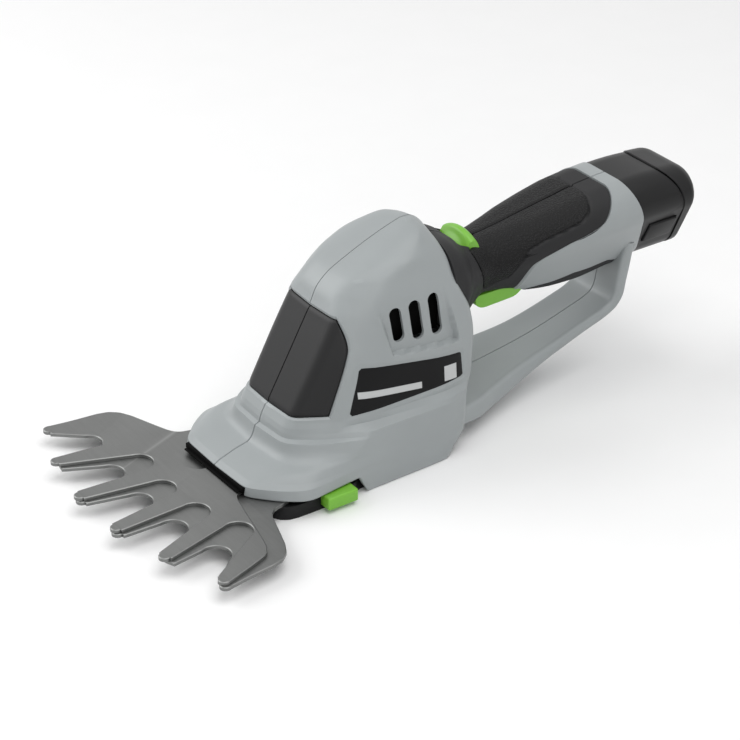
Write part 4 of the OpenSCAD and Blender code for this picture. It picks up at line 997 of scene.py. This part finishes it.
def head_half():
    """The left half's skin with its dents, as a thick-walled mesh."""
    shell = settings("shell")
    points = Head().skin()
    normals = outward(points, HEAD_MIDDLE)
    x, y, z = points[..., 0], points[..., 1], points[..., 2]
    side = y < -SIDE_FROM
    label = outline_distance(LABEL, x, z)
    dent = shell.label_depth / MM * ease(0.5 - (label - LABEL_EASE) / LABEL_EASE) * side
    field = outline_distance(VENT_RECESS, x, z)
    fall = ease((RECESS_TOP - z) / RECESS_FADE)
    dent = np.maximum(dent, shell.recess / MM * ease(0.5 - field / RECESS_EASE) * fall * side)
    for row, depth in enumerate(SKIRT_DROPS):
        dent[:, row] += depth * (z[:, row] > SKIRT_FLAP)
    inward = normals.copy()
    inward[:, -2:] = (0, 0, 1)
    return half_wall(points - normals * dent[..., None], normals, shell.wall / MM, inward)


def panel_grid(head, spread, last, lift, past_seam=0.0):
    """Points over the front panel's field, wider by some spread and lifted off the skin."""
    foot, top, shoulder = PANEL_FOOT - spread, PANEL_TOP + spread, PANEL_SHOULDER + spread
    turning = head.column("corner", 1)
    columns, rows = PANEL_CELLS
    beyond = np.linspace(0, 1, columns)
    grid = np.zeros((turning + columns, rows + 1, 3))
    for j in range(rows + 1):
        height = foot + (top - foot) * j / rows
        line = head.at_height(height)
        wide = 1 - max(0.0, (height - shoulder) / (top - shoulder)) ** PANEL_TAPER
        gone = lengths(line)
        near, far = np.interp((turning + PANEL_CORNER, last), np.arange(len(line)), gone)
        edge = near + (far - near) * wide
        start = gone[turning]
        places = np.concatenate((gone[:turning], start + (edge - start) * beyond))
        grid[:, j, 0] = np.interp(places, gone, line[:, 0])
        grid[:, j, 1] = -np.interp(places, gone, line[:, 1])
        grid[:, j, 2] = height
    normals = outward(grid, HEAD_MIDDLE)
    grid += normals * lift
    if past_seam:
        grid[0, :, 1] = past_seam
    return grid, normals


class SHEARS_OT_head(bpy.types.Operator):
    """Builds both halves of the grey head with panel opening, nose slot, vents and screw wells"""

    bl_idname = "shears.head"
    bl_label = "Head Shells"

    def execute(self, context):
        head = Head()
        left = new_object(head_half(), "left_head")
        last = head.column("corner", 2) + OPENING_END
        for spread, sunk in OPENING_CUTS:
            wider = last + OPENING_WIDER * spread
            upper, _ = panel_grid(head, spread, wider, OPENING_LIFT, PAST_SEAM)
            lower, _ = panel_grid(head, OPENING_FLOOR, last, sunk, PAST_SEAM)
            cut_away(left, slab(upper, lower), "panel_cutter")
        bm = bmesh.new()
        add_block(bm, *NOSE_SLOT)
        for low, high in VENTS:
            add_vent(bm, low, high, settings("shell").vent_width / MM / 2)
        bmesh.ops.recalc_face_normals(bm, faces=bm.faces)
        cut_away(left, bm, "vent_cutter")
        right = twin(left, "right_head")
        holes, wells = bmesh.new(), bmesh.new()
        for x, z in SCREW_SPOTS:
            reach = head.side(x, z)
            for bm, (low, high, radius), closed in ((holes, SCREW_HOLE, True),
                                                    (wells, SCREW_WELL, False)):
                add_round(bm, (x, reach + low, z), (x, reach + high, z), radius, closed)
        cut_away(right, holes, "screw_cutter")
        finish_piece(left, "grey_shell", "housing", ("left_shell",))
        finish_piece(right, "grey_shell", "housing", ("right_shell",))
        bmesh.ops.reverse_faces(wells, faces=wells.faces)
        bmesh.ops.solidify(wells, geom=wells.faces[:], thickness=WELL_WALL * MM)
        finish_piece(new_object(wells, "screw_wells"), "grey_shell", "housing")
        # painted shade: black blocks behind the nose slot and the vents
        painted_shade_blocks("nose_liner", NOSE_SHADE_BLOCKS)
        painted_shade_blocks("vent_baffles", VENT_SHADE_BLOCKS)
        return {"FINISHED"}


class SHEARS_OT_panels(bpy.types.Operator):
    """Builds the two dark front panels"""

    bl_idname = "shears.panels"
    bl_label = "Front Panels"

    def execute(self, context):
        shell = settings("shell")
        head = Head()
        last = head.column("corner", 2) + PANEL_END
        grid, normals = panel_grid(head, -PANEL_GAP, last, -PANEL_SUNK)
        grid = grid - normals * rim_sunk(grid, PANEL_RIM, at_seam=True)
        grid[..., 1] = np.minimum(grid[..., 1], -shell.seam / MM)
        grid[0] -= normals[0] * shell.seam_depth / MM
        bm = wall(grid, normals, PANEL_WALL, shell.seam / MM)
        finish_pair(bm, "front_panel", "gloss_panel", "panel")
        return {"FINISHED"}


class SHEARS_OT_label(bpy.types.Operator):
    """Builds the bare label plate on the left side"""

    bl_idname = "shears.label"
    bl_label = "Label Plate"

    def execute(self, context):
        head = Head()
        low_left, low_right, high_right, high_left = [np.array(p, float) for p in LABEL]

        def place(u, v):
            low, high = low_left * (1 - u) + low_right * u, high_left * (1 - u) + high_right * u
            x, z = low * (1 - v) + high * v
            return x, -head.side(x, z), z

        grid = grid_of(LABEL_CELLS, place)
        normals = outward(grid, HEAD_MIDDLE)
        lift = LABEL_LIFT - settings("shell").label_depth / MM
        grid = grid + normals * (lift - rim_sunk(grid, LABEL_RIM))
        plate = new_object(wall(grid, normals, LABEL_WALL), "side_label")
        finish_piece(plate, "label", "housing")
        return {"FINISHED"}


def loop_section(width, half):
    """Half a section of the guard loop's bar, from the upper seam to the lower."""
    side = width - LOOP_EDGE
    line = [(0, half)]
    line += [(LOOP_LEAD + (side - LOOP_LEAD) * k / LOOP_CELLS, half) for k in range(LOOP_CELLS + 1)]
    for turn, middle in ((0, half - LOOP_EDGE), (1, LOOP_EDGE - half)):
        for k in range(LOOP_TURN + 1):
            angle = math.pi / 2 * (1 - k / LOOP_TURN - turn)
            line.append((side + LOOP_EDGE * math.cos(angle), middle + LOOP_EDGE * math.sin(angle)))
    line += [(LOOP_LEAD + (side - LOOP_LEAD) * (1 - k / LOOP_CELLS), -half)
             for k in range(1, LOOP_CELLS + 1)]
    return [*line, (0, -half)]


def loop_half():
    """Left half of the guard loop's bar."""
    path = Smooth(range(len(LOOP_PATH)), LOOP_PATH)
    last = len(LOOP_PATH) - 1
    rows = []
    for step in np.linspace(0, last, LOOP_STEPS):
        x, z, width, deep = path(step)
        ahead, behind = path(min(step + LOOP_NEAR, last)), path(max(step - LOOP_NEAR, 0))
        way = (ahead - behind)[:2]
        way = way / np.linalg.norm(way)
        section = loop_section(width, deep / 2)
        rows.append([(x - way[1] * v, -u, z + way[0] * v) for u, v in section])
    points = np.array(rows).transpose(1, 0, 2)
    column, row = LOOP_PROBE
    middle = points[:, row].mean(axis=0)
    middle[1] = 0.0
    normals = grid_normals(points)
    if normals[column, row] @ (points[column, row] - middle) < 0:
        normals = -normals
    return half_wall(points, normals, settings("shell").wall / MM)


class Grip:
    """The smooth skin of the grip's left half, in millimetres."""

    def __init__(self):
        self.curve = Smooth([s[0] for s in GRIP_STATIONS], [s[1:] for s in GRIP_STATIONS])

    def line(self, x, inset=0.0):
        """Points round the section at x from the top seam to the bottom one, and their shares."""
        middle, half, upper, lower, radius = self.curve(x)
        radius -= inset
        turn = math.pi / 2 + math.atan(half / (upper + lower))
        line = [[(0, middle + upper + radius)]]
        for first, last, count, side, height in ((0, turn, GRIP_ROUND[0], half, middle + upper),
                                                 (turn, math.pi, GRIP_ROUND[1], 0, middle - lower)):
            angles = np.linspace(first, last, count)
            line.append(np.column_stack((-side - radius * np.sin(angles),
                                         height + radius * np.cos(angles))))
        line = np.vstack(line)
        gone = lengths(line)
        return line, gone / gone[-1]

    def point(self, x, share, inset=0.0):
        line, gone = self.line(x, inset)
        return np.array([x, np.interp(share, gone, line[:, 0]), np.interp(share, gone, line[:, 1])])

    def skin(self, start, end, steps, inset=0.0, cells=84):
        """Grid from one edge to another along the tool, its normals and its shares round it."""
        even = np.linspace(0, 1, cells + 1)[1:-1]
        shares = np.concatenate(([0, SEAM_SHARE], even, [1 - SEAM_SHARE, 1]))
        insets = np.broadcast_to(inset, len(steps))
        grid = np.zeros((len(shares), len(steps), 3))
        for i, share in enumerate(shares):
            first, last = EDGE_GUESS
            for _ in range(2):
                first = start(self.point(first, share))
            for _ in range(3):
                last = end(self.point(last, share))
            for j, step in enumerate(steps):
                grid[i, j] = self.point(first + (last - first) * step, share, insets[j])
        return grid, outward(grid, (grid[..., 0].mean(), 0.0, GRIP_MIDDLE)), shares


def edge_line(table, shift=0.0):
    """Where an edge lies along the tool, by height, from a table of heights and places."""
    heights = [row[0] for row in table]
    curve = Smooth(heights, [[row[1] + shift] for row in table])
    return lambda point: float(curve(min(max(point[2], heights[0]), heights[-1]))[0])


def dome_edge(head):
    """Where the rubber meets the rear of the dome."""
    start = head.column("corner", 6)
    low, high = DOME_HEIGHTS

    def place(point):
        line = head.at_height(min(max(point[2], low), high))[start:][::-1]
        return max(DOME_REAR, float(np.interp(-point[1], line[:, 1], line[:, 0])) - DOME_LAP)
    return place


class SHEARS_OT_loop(bpy.types.Operator):
    """Builds both halves of the guard loop"""

    bl_idname = "shears.loop"
    bl_label = "Guard Loop"

    def execute(self, context):
        grip = Grip()
        rings = []
        for x in ROOM_PLACES:
            ring = grip.line(x, ROOM_INSET)[0]
            whole = np.vstack((ring, ring[-2:0:-1] * (-1, 1)))
            rings.append(np.column_stack((np.full(len(whole), x), whole)))
        left = new_object(loop_half(), "left_guard_loop")
        cut_away(left, tube(rings), "battery_room")
        right = twin(left, "right_guard_loop")
        for piece in (left, right):
            finish_piece(piece, "grey_shell", "housing")
        return {"FINISHED"}


class SHEARS_OT_collar(bpy.types.Operator):
    """Builds both halves of the grey collar behind the rubber and of the dark strip under it"""

    bl_idname = "shears.collar"
    bl_label = "Rear Collar"

    def execute(self, context):
        grip = Grip()
        steps = [0, 0.012, *np.linspace(0, 1, 56)[1:-1], 0.985, 1]
        start, end = edge_line(RUBBER_EDGE, COLLAR_GAP), edge_line(COLLAR_EDGE)
        grid, normals, _ = grip.skin(start, end, steps)
        for row, depth in COLLAR_RIM:
            grid[:, row] -= normals[:, row] * depth
        bm = half_wall(grid, normals, COLLAR_WALL)
        finish_pair(bm, "rear_collar", "grey_shell")
        xs, uppers = zip(*STRIP_EDGE)

        def place(u, v):
            x = xs[0] + (xs[-1] - xs[0]) * u
            upper = float(np.interp(x, xs, uppers))
            return grip.point(x, upper + (1 - upper) * v)

        strip = grid_of(STRIP_CELLS, place)
        normals = outward(strip, (STRIP_MIDDLE, 0.0, GRIP_MIDDLE))
        lift = np.full(strip.shape[:2], STRIP_LIFT)
        lift[0] = lift[-1] = lift[:, 0] = -STRIP_SUNK
        strip = strip + normals * lift[..., None]
        strip[:, -1, 1] = -STRIP_SEAM
        finish_pair(wall(strip, normals, STRIP_WALL), "under_strip", "grip_rubber")
        return {"FINISHED"}


def insert_place(p, q):
    """Place in the insert's field at p along and q up, as x and share round the grip."""
    def along(line, t):
        points = np.array(line, float)
        gone = lengths(points * (1, INSERT_GIRTH))
        return np.array([np.interp(t * gone[-1], gone, points[:, k]) for k in (0, 1)])
    low, top = along(INSERT_LOW, p), along(INSERT_TOP, p)
    front, rear = along(INSERT_FRONT, q), along(INSERT_REAR, q)
    low_ends, top_ends = np.array(INSERT_LOW, float), np.array(INSERT_TOP, float)
    corners = ((1 - p) * (1 - q) * low_ends[0] + p * (1 - q) * low_ends[-1]
               + (1 - p) * q * top_ends[0] + p * q * top_ends[-1])
    return (1 - q) * low + q * top + (1 - p) * front + p * rear - corners


class SHEARS_OT_grips(bpy.types.Operator):
    """Builds the rubber sleeve halves and their textured inserts"""

    bl_idname = "shears.grips"
    bl_label = "Rubber Grips"

    def execute(self, context):
        sizes = settings("grip")
        grip = Grip()
        steps = [*np.linspace(0, 0.985, 120), 0.995, 1]
        start, end = dome_edge(Head()), edge_line(RUBBER_EDGE)
        grid, normals, shares = grip.skin(start, end, steps, cells=96)
        outline = [*INSERT_LOW, *INSERT_REAR[1:], *INSERT_TOP[::-1][1:]]
        outline = [(x, share * POCKET_GIRTH) for x, share in outline]
        across = np.repeat(shares[:, None] * POCKET_GIRTH, grid.shape[1], axis=1)
        gap = outline_distance(outline, grid[..., 0], across)
        sink = sizes.pocket / MM * ease(0.5 - (gap - sizes.groove / MM) / POCKET_EASE)
        sink[:, -1] += RUBBER_RIM
        grid = grid - normals * sink[..., None]
        left = new_object(half_wall(grid, normals, sizes.thickness / MM), "left_rubber")
        bm = bmesh.new()
        low, high = [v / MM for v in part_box("trigger")]
        add_block(bm, (low.x - TRIGGER_LEAD, low.y - TRIGGER_ROOM, TRIGGER_FLOOR),
                  (high.x + TRIGGER_ROOM, high.y + TRIGGER_ROOM, high.z + TRIGGER_ABOVE))
        low, high = [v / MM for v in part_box("lock_button")]
        add_block(bm, (LOCK_FRONT, low.y - LOCK_ROOM, high.z - LOCK_DEEP),
                  (high.x + LOCK_BACK, high.y + LOCK_ROOM, high.z + LOCK_ABOVE))
        cut_away(left, bm, "grip_cutter")
        right = twin(left, "right_rubber")
        finish_piece(left, "grip_rubber", "housing", ("left_grip",))
        finish_piece(right, "grip_rubber", "housing", ("right_grip",))
        pad = grid_of(INSERT_CELLS, lambda u, v: grip.point(*insert_place(u, v)))
        normals = outward(pad, (INSERT_MIDDLE, 0.0, GRIP_MIDDLE))
        pad = pad + normals * (INSERT_LIFT - rim_sunk(pad, INSERT_RIM))
        bm = wall(pad, normals, INSERT_WALL)
        finish_pair(bm, "grip_insert", "grip_insert")
        return {"FINISHED"}


def blade_outline(node):
    """Loops round a blade halfway up in millimetres, material on their left, and its two levels."""
    bm = bmesh.new()
    bm.from_mesh(frame["nodes"][node].data)
    bmesh.ops.remove_doubles(bm, verts=bm.verts, dist=BLADE_MERGE * MM)
    low, high = min(v.co.z for v in bm.verts), max(v.co.z for v in bm.verts)
    halfway = bmesh.ops.bisect_plane(
        bm, geom=bm.verts[:] + bm.edges[:] + bm.faces[:], dist=1e-9,
        plane_co=(0, 0, (low + high) / 2), plane_no=(0, 0, 1))["geom_cut"]
    beside = {}
    for edge in [g for g in halfway if isinstance(g, bmesh.types.BMEdge)]:
        for vert in edge.verts:
            beside.setdefault(vert, []).append(edge.other_vert(vert))
    loops = []
    waiting = set(beside)
    for vert in sorted(beside, key=lambda v: v.co[:2]):
        if vert not in waiting:
            continue
        waiting.discard(vert)
        loop = [vert]
        while vert:
            vert = next((v for v in beside[vert] if v in waiting), None)
            if vert:
                loop.append(vert)
                waiting.discard(vert)
        points = np.array([(v.co.x, v.co.y) for v in loop]) / MM
        across = np.roll(points, -1, axis=0)
        area = (points[:, 0] * across[:, 1] - points[:, 1] * across[:, 0]).sum() / 2
        loops.append((area, points))
    bm.free()
    widest = max(abs(area) for area, _ in loops)
    loops.sort(key=lambda item: abs(item[0]) < widest)
    # The outer loop starts at its least point and a hole one later, the same in every run
    outline = []
    for k, (area, points) in enumerate(loops):
        if (area > 0) != (k == 0):
            points = np.roll(points[::-1], 1, axis=0)
        outline.append(np.roll(points, -min(k, 1), axis=0))
    return outline, low / MM, high / MM


def even_loop(points, step):
    """The closed loop with points about a step apart, its corners kept."""
    kept = [points[0]]
    for a, b in zip(points, np.roll(points, -1, axis=0)):
        cells = max(1, round(np.linalg.norm(b - a) / step))
        for k in range(1, cells + 1):
            point = a + (b - a) * k / cells
            if np.linalg.norm(point - kept[-1]) > BLADE_NEAR * step:
                kept.append(point)
    if np.linalg.norm(kept[-1] - kept[0]) < BLADE_NEAR * step:
        kept.pop()
    return np.array(kept)


def ground_blade(node, name):
    """A blade with its teeth ground to a bevel all round their upper edge."""
    sizes = settings("blade")
    loops, low, high = blade_outline(node)
    bm = bmesh.new()
    upper, under = [], []
    for k, loop in enumerate(loops):
        points = even_loop(loop, BLADE_STEP)
        way = np.roll(points, -1, axis=0) - np.roll(points, 1, axis=0)
        way /= np.linalg.norm(way, axis=1, keepdims=True)
        inward = np.column_stack((-way[:, 1], way[:, 0]))
        share = np.zeros(len(points))
        if k == 0:
            share = ease((np.hypot(points[:, 0], points[:, 1]) - TEETH_FROM) / TEETH_FADE)
        width = BLADE_EASE + (sizes.bevel_width / MM - BLADE_EASE) * share
        drop = BLADE_EASE + (sizes.bevel_depth / MM - BLADE_EASE) * share
        inner = points + inward * width[:, None]
        for _ in range(3):
            inner = inner * 0.5 + (np.roll(inner, 1, axis=0) + np.roll(inner, -1, axis=0)) * 0.25
        ring = [bm.verts.new((p[0] * MM, p[1] * MM, low * MM)) for p in points]
        edges = [bm.edges.new((a, b)) for a, b in zip(ring, ring[1:] + ring[:1])]
        under += edges
        level = np.full(len(points), high)
        for heights, places, ground in ((high - drop, points, 0), (level, inner, 1)):
            known = set(bm.verts)
            bmesh.ops.extrude_edge_only(bm, edges=edges)
            ring = [next(e.other_vert(v) for e in v.link_edges if e.other_vert(v) not in known)
                    for v in ring]
            for face in {f for v in ring for f in v.link_faces}:
                face.material_index = ground
            for i, vert in enumerate(ring):
                vert.co = (places[i][0] * MM, places[i][1] * MM, heights[i] * MM)
            edges = [bm.edges.get((a, b)) for a, b in zip(ring, ring[1:] + ring[:1])]
        upper += edges
    for rim, facing_up in ((upper, 1), (under, -1)):
        bmesh.ops.triangle_fill(bm, edges=rim, use_beauty=True, normal=(0, 0, facing_up))
    bmesh.ops.recalc_face_normals(bm, faces=bm.faces)
    return new_object(bm, name)


class SHEARS_OT_blades(bpy.types.Operator):
    """Grinds the bevels of the fixed and the moving blade"""

    bl_idname = "shears.blades"
    bl_label = "Blades"

    def execute(self, context):
        for node, body, name in (("fixed_blade", "housing", "lower_blade"),
                                 ("moving_blade", "cutter", "upper_blade")):
            finish_piece(ground_blade(node, name), ("blade_steel", "ground_steel"), body,
                         (node,), crease=20)
        return {"FINISHED"}


class SHEARS_OT_base(bpy.types.Operator):
    """Rounds the edges of the dark base cover"""

    bl_idname = "shears.base"
    bl_label = "Base Cover"

    def execute(self, context):
        cover = softened("base_cover", "base_tray", COVER_EDGE * MM)
        finish_piece(cover, "dark_plastic", "housing", ("base_cover",))
        return {"FINISHED"}


def lock_lever():
    """The lock lever: a saddle with a dish for the thumb and swept-back sides."""
    profile = Smooth(range(len(LOCK_PROFILE)), LOCK_PROFILE)
    places = np.linspace(0, len(LOCK_PROFILE) - 1, LOCK_CELLS + 1)
    shape = np.array([profile(t) for t in places])
    foot = shape[:, 1].min()
    middle = shape.mean(axis=0)
    depth, place, width = LOCK_DISH
    dish = depth * np.exp(-((places - place) / width) ** 2)
    lead, reach = LOCK_PROW
    prow = lead * np.clip(1 - places / reach, 0, 1)
    rings = []
    for v in (-1, -0.985, -0.95, *np.linspace(-LOCK_FLAT, LOCK_FLAT, 31), 0.95, 0.985, 1):
        ring = shape.copy()
        ring[:, 0] += dish * (1 - v * v) + prow * v * v
        ring[:, 1] = np.maximum(foot, ring[:, 1] - LOCK_DROP * v * v)
        tuck = max(0.0, (abs(v) - LOCK_FLAT) / (1 - LOCK_FLAT))
        ring += (middle - ring) * LOCK_TUCK * (1 - math.sqrt(1 - tuck * tuck))
        rings.append([(x, v * LOCK_HALF, z) for x, z in ring])
    return new_object(tube(rings), "lock_lever")


class SHEARS_OT_controls(bpy.types.Operator):
    """Builds the lock lever, the black block of painted shade under it, the trigger and the blade
    release buttons
    """

    bl_idname = "shears.controls"
    bl_label = "Controls"

    def execute(self, context):
        finish_piece(lock_lever(), "green_plastic", "lock", ("lock_button",))
        # painted shade: black block under the lock lever
        painted_shade_blocks("lock_bed", LOCK_SHADE_BLOCK)
        for node, body in (("trigger", "trigger"), ("left_release", "release_left"),
                           ("right_release", "release_right")):
            piece = softened(node, node + "_moulding", settings("control").edge, 30, 3)
            finish_piece(piece, "green_plastic", body, (node,))
        return {"FINISHED"}


class SHEARS_OT_battery(bpy.types.Operator):
    """Builds the battery's case, cap and latch pads"""

    bl_idname = "shears.battery"
    bl_label = "Battery"

    def execute(self, context):
        grip = Grip()
        steps = [0, 0.02, *np.linspace(0, 1, 30)[1:-1], 0.98, 1]
        start, end = edge_line(COLLAR_EDGE, CASE_FRONT_GAP), edge_line(CAP_EDGE, -CASE_REAR_GAP)
        grid, normals, _ = grip.skin(start, end, steps, CASE_INSET)
        grid[:, -1] -= normals[:, -1] * CASE_RIM
        half = grid if faces_along(grid, normals) else grid[:, ::-1]
        piece = new_object(both_halves(half, CASE_WALL), "battery_shell")
        bm = bmesh.new()
        room, reach = Vector((LATCH_ROOM, 0, LATCH_ROOM)), Vector((0, LATCH_REACH, 0))
        for side in ("left", "right"):
            low, high = [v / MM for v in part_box(side + "_latch")]
            add_block(bm, low - room - reach, high + room + reach)
        cut_away(piece, bm, "battery_cutter")
        finish_piece(piece, "battery_plastic", "battery")
        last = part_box("battery_cap")[1].x / MM
        turn = np.linspace(0, math.pi / 2, 13)[1:]
        steps = [0, 0.01, *np.linspace(CAP_LEAD, CAP_TURN, 12),
                 *(CAP_TURN + (1 - CAP_TURN) * np.sin(turn))]
        insets = [0.9, 0.35, *[CAP_INSET] * 12, *(CAP_INSET + CAP_ROUND * (1 - np.cos(turn)))]
        grid, _, _ = grip.skin(edge_line(CAP_EDGE), lambda point: last - CAP_CROWN, steps, insets)
        middle = grid[:, -1].mean(axis=0)
        middle[:2] = last, 0.0
        rows = [(grid[:, -1] * (1 - share) + middle * share)[:, None] for share in (0.35, 0.7, 1.0)]
        grid = np.concatenate((grid, *rows), axis=1)
        normals = outward(grid, (CAP_MIDDLE, 0.0, GRIP_MIDDLE))
        half = grid if faces_along(grid, normals) else grid[:, ::-1]
        piece = new_object(both_halves(half, CAP_WALL), "battery_end_cap")
        finish_piece(piece, "battery_plastic", "battery", ("battery_cap",))
        for side in ("left", "right"):
            piece = softened(side + "_latch", side + "_latch_pad", LATCH_EDGE * MM, 30, 3)
            finish_piece(piece, "dark_plastic", "latch_" + side,
                         (side + "_latch",))
        return {"FINISHED"}


class SHEARS_OT_inner(bpy.types.Operator):
    """Gives every carried-over part its finish"""

    bl_idname = "shears.inner"
    bl_label = "Inner Finishes"

    def execute(self, context):
        slots = {part["node"]: part["material_slot"] for part in frame["record"]["subparts"]}
        for node, made in frame["nodes"].items():
            made.data.materials.clear()
            made.data.materials.append(FINISHES[slots[node]])
        return {"FINISHED"}


def aimed(data, way, target, distance):
    """A camera or lamp at some distance from a target, which it looks at."""
    made = bpy.data.objects.new(data.name, data)
    way = Vector(way).normalized()
    made.location = target + way * distance
    made.rotation_euler = way.to_track_quat("Z", "Y").to_euler()
    bpy.context.scene.collection.objects.link(made)
    return made


class SHEARS_OT_stage(bpy.types.Operator):
    """Sets the camera, the pale floor and soft studio light"""

    bl_idname = "shears.stage"
    bl_label = "Stage"

    def execute(self, context):
        sizes = settings("stage")
        scene = context.scene
        scene.view_settings.view_transform = "Standard"
        target = Vector(CAMERA_TARGET) * MM
        lens = bpy.data.cameras.new("photo_view")
        lens.lens = sizes.lens
        lens.sensor_width = 36
        lens.clip_start = 0.05
        scene.camera = aimed(lens, CAMERA_WAY, target, sizes.distance)
        bm = bmesh.new()
        bmesh.ops.create_grid(bm, x_segments=8, y_segments=8, size=FLOOR_HALF)
        floor = new_object(bm, "studio_floor")
        pale = Finish("studio_floor", Roughness=0.9, Specular_IOR_Level=0.1)
        pale.colour(pale.mixed(pale.noise(scale=30.0), (0.93, 0.93, 0.93), (0.95, 0.95, 0.95)))
        floor.data.materials.append(pale.material)
        for name, way, distance, size, power in (
                ("key_light", (-0.62, 0.68, 0.62), 1.5, 1.1, sizes.key),
                ("top_light", (0.05, -0.25, 1.0), 1.5, 1.4, sizes.top),
                ("front_light", (-0.35, -0.95, 0.55), 1.7, 1.0, sizes.key * 0.4)):
            lamp = bpy.data.lights.new(name, "AREA")
            lamp.size = size
            lamp.energy = power
            aimed(lamp, way, target, distance)
        world = bpy.data.worlds.new("studio")
        world.use_nodes = True
        scene.world = world
        sky = Nodes(world.node_tree)
        sky.tree.nodes.clear()
        ray = sky.node("ShaderNodeLightPath").outputs
        seen = Wire(sky, ray["Is Camera Ray"]).largest(ray["Is Glossy Ray"])
        seen = seen.largest(ray["Is Transmission Ray"])
        soft, white = [
            sky.node("ShaderNodeBackground", None, {"Color": (1, 1, 1), "Strength": strength})
            for strength in (sizes.sky, 1.0)]
        either = sky.node("ShaderNodeMixShader", None,
                          {0: seen, 1: soft.outputs[0], 2: white.outputs[0]})
        sky.node("ShaderNodeOutputWorld", None, {"Surface": either.outputs[0]})
        return {"FINISHED"}


class SHEARS_PT_pieces(bpy.types.Panel):
    """Lists the builders of the shears"""

    bl_idname = "SHEARS_PT_pieces"
    bl_label = "Grass Shears"
    bl_space_type = "VIEW_3D"
    bl_region_type = "UI"
    bl_category = "Shears"

    def draw(self, context):
        for operator in OPERATORS:
            self.layout.operator(operator.bl_idname)


GROUPS = {
    "shell": ShellSettings,
    "grip": GripSettings,
    "blade": BladeSettings,
    "control": ControlSettings,
    "stage": StageSettings,
}
OPERATORS = (
    SHEARS_OT_stage,
    SHEARS_OT_inner,
    SHEARS_OT_head,
    SHEARS_OT_panels,
    SHEARS_OT_label,
    SHEARS_OT_loop,
    SHEARS_OT_collar,
    SHEARS_OT_grips,
    SHEARS_OT_blades,
    SHEARS_OT_base,
    SHEARS_OT_controls,
    SHEARS_OT_battery,
)


def register():
    for group in GROUPS.values():
        bpy.utils.register_class(group)
    for name, group in GROUPS.items():
        setattr(bpy.types.Scene, "shears_" + name, PointerProperty(type=group))
    for operator in OPERATORS:
        bpy.utils.register_class(operator)
    bpy.utils.register_class(SHEARS_PT_pieces)


def unregister():
    bpy.utils.unregister_class(SHEARS_PT_pieces)
    for operator in reversed(OPERATORS):
        bpy.utils.unregister_class(operator)
    for name, group in GROUPS.items():
        delattr(bpy.types.Scene, "shears_" + name)
        bpy.utils.unregister_class(group)


def main():
    register()
    make_finishes()
    bpy.ops.shears.stage()
    bpy.ops.shears.inner()
    bpy.ops.shears.head()
    bpy.ops.shears.panels()
    bpy.ops.shears.label()
    bpy.ops.shears.loop()
    bpy.ops.shears.collar()
    bpy.ops.shears.grips()
    bpy.ops.shears.blades()
    bpy.ops.shears.base()
    bpy.ops.shears.controls()
    bpy.ops.shears.battery()


if __name__ == "__main__":
    main()
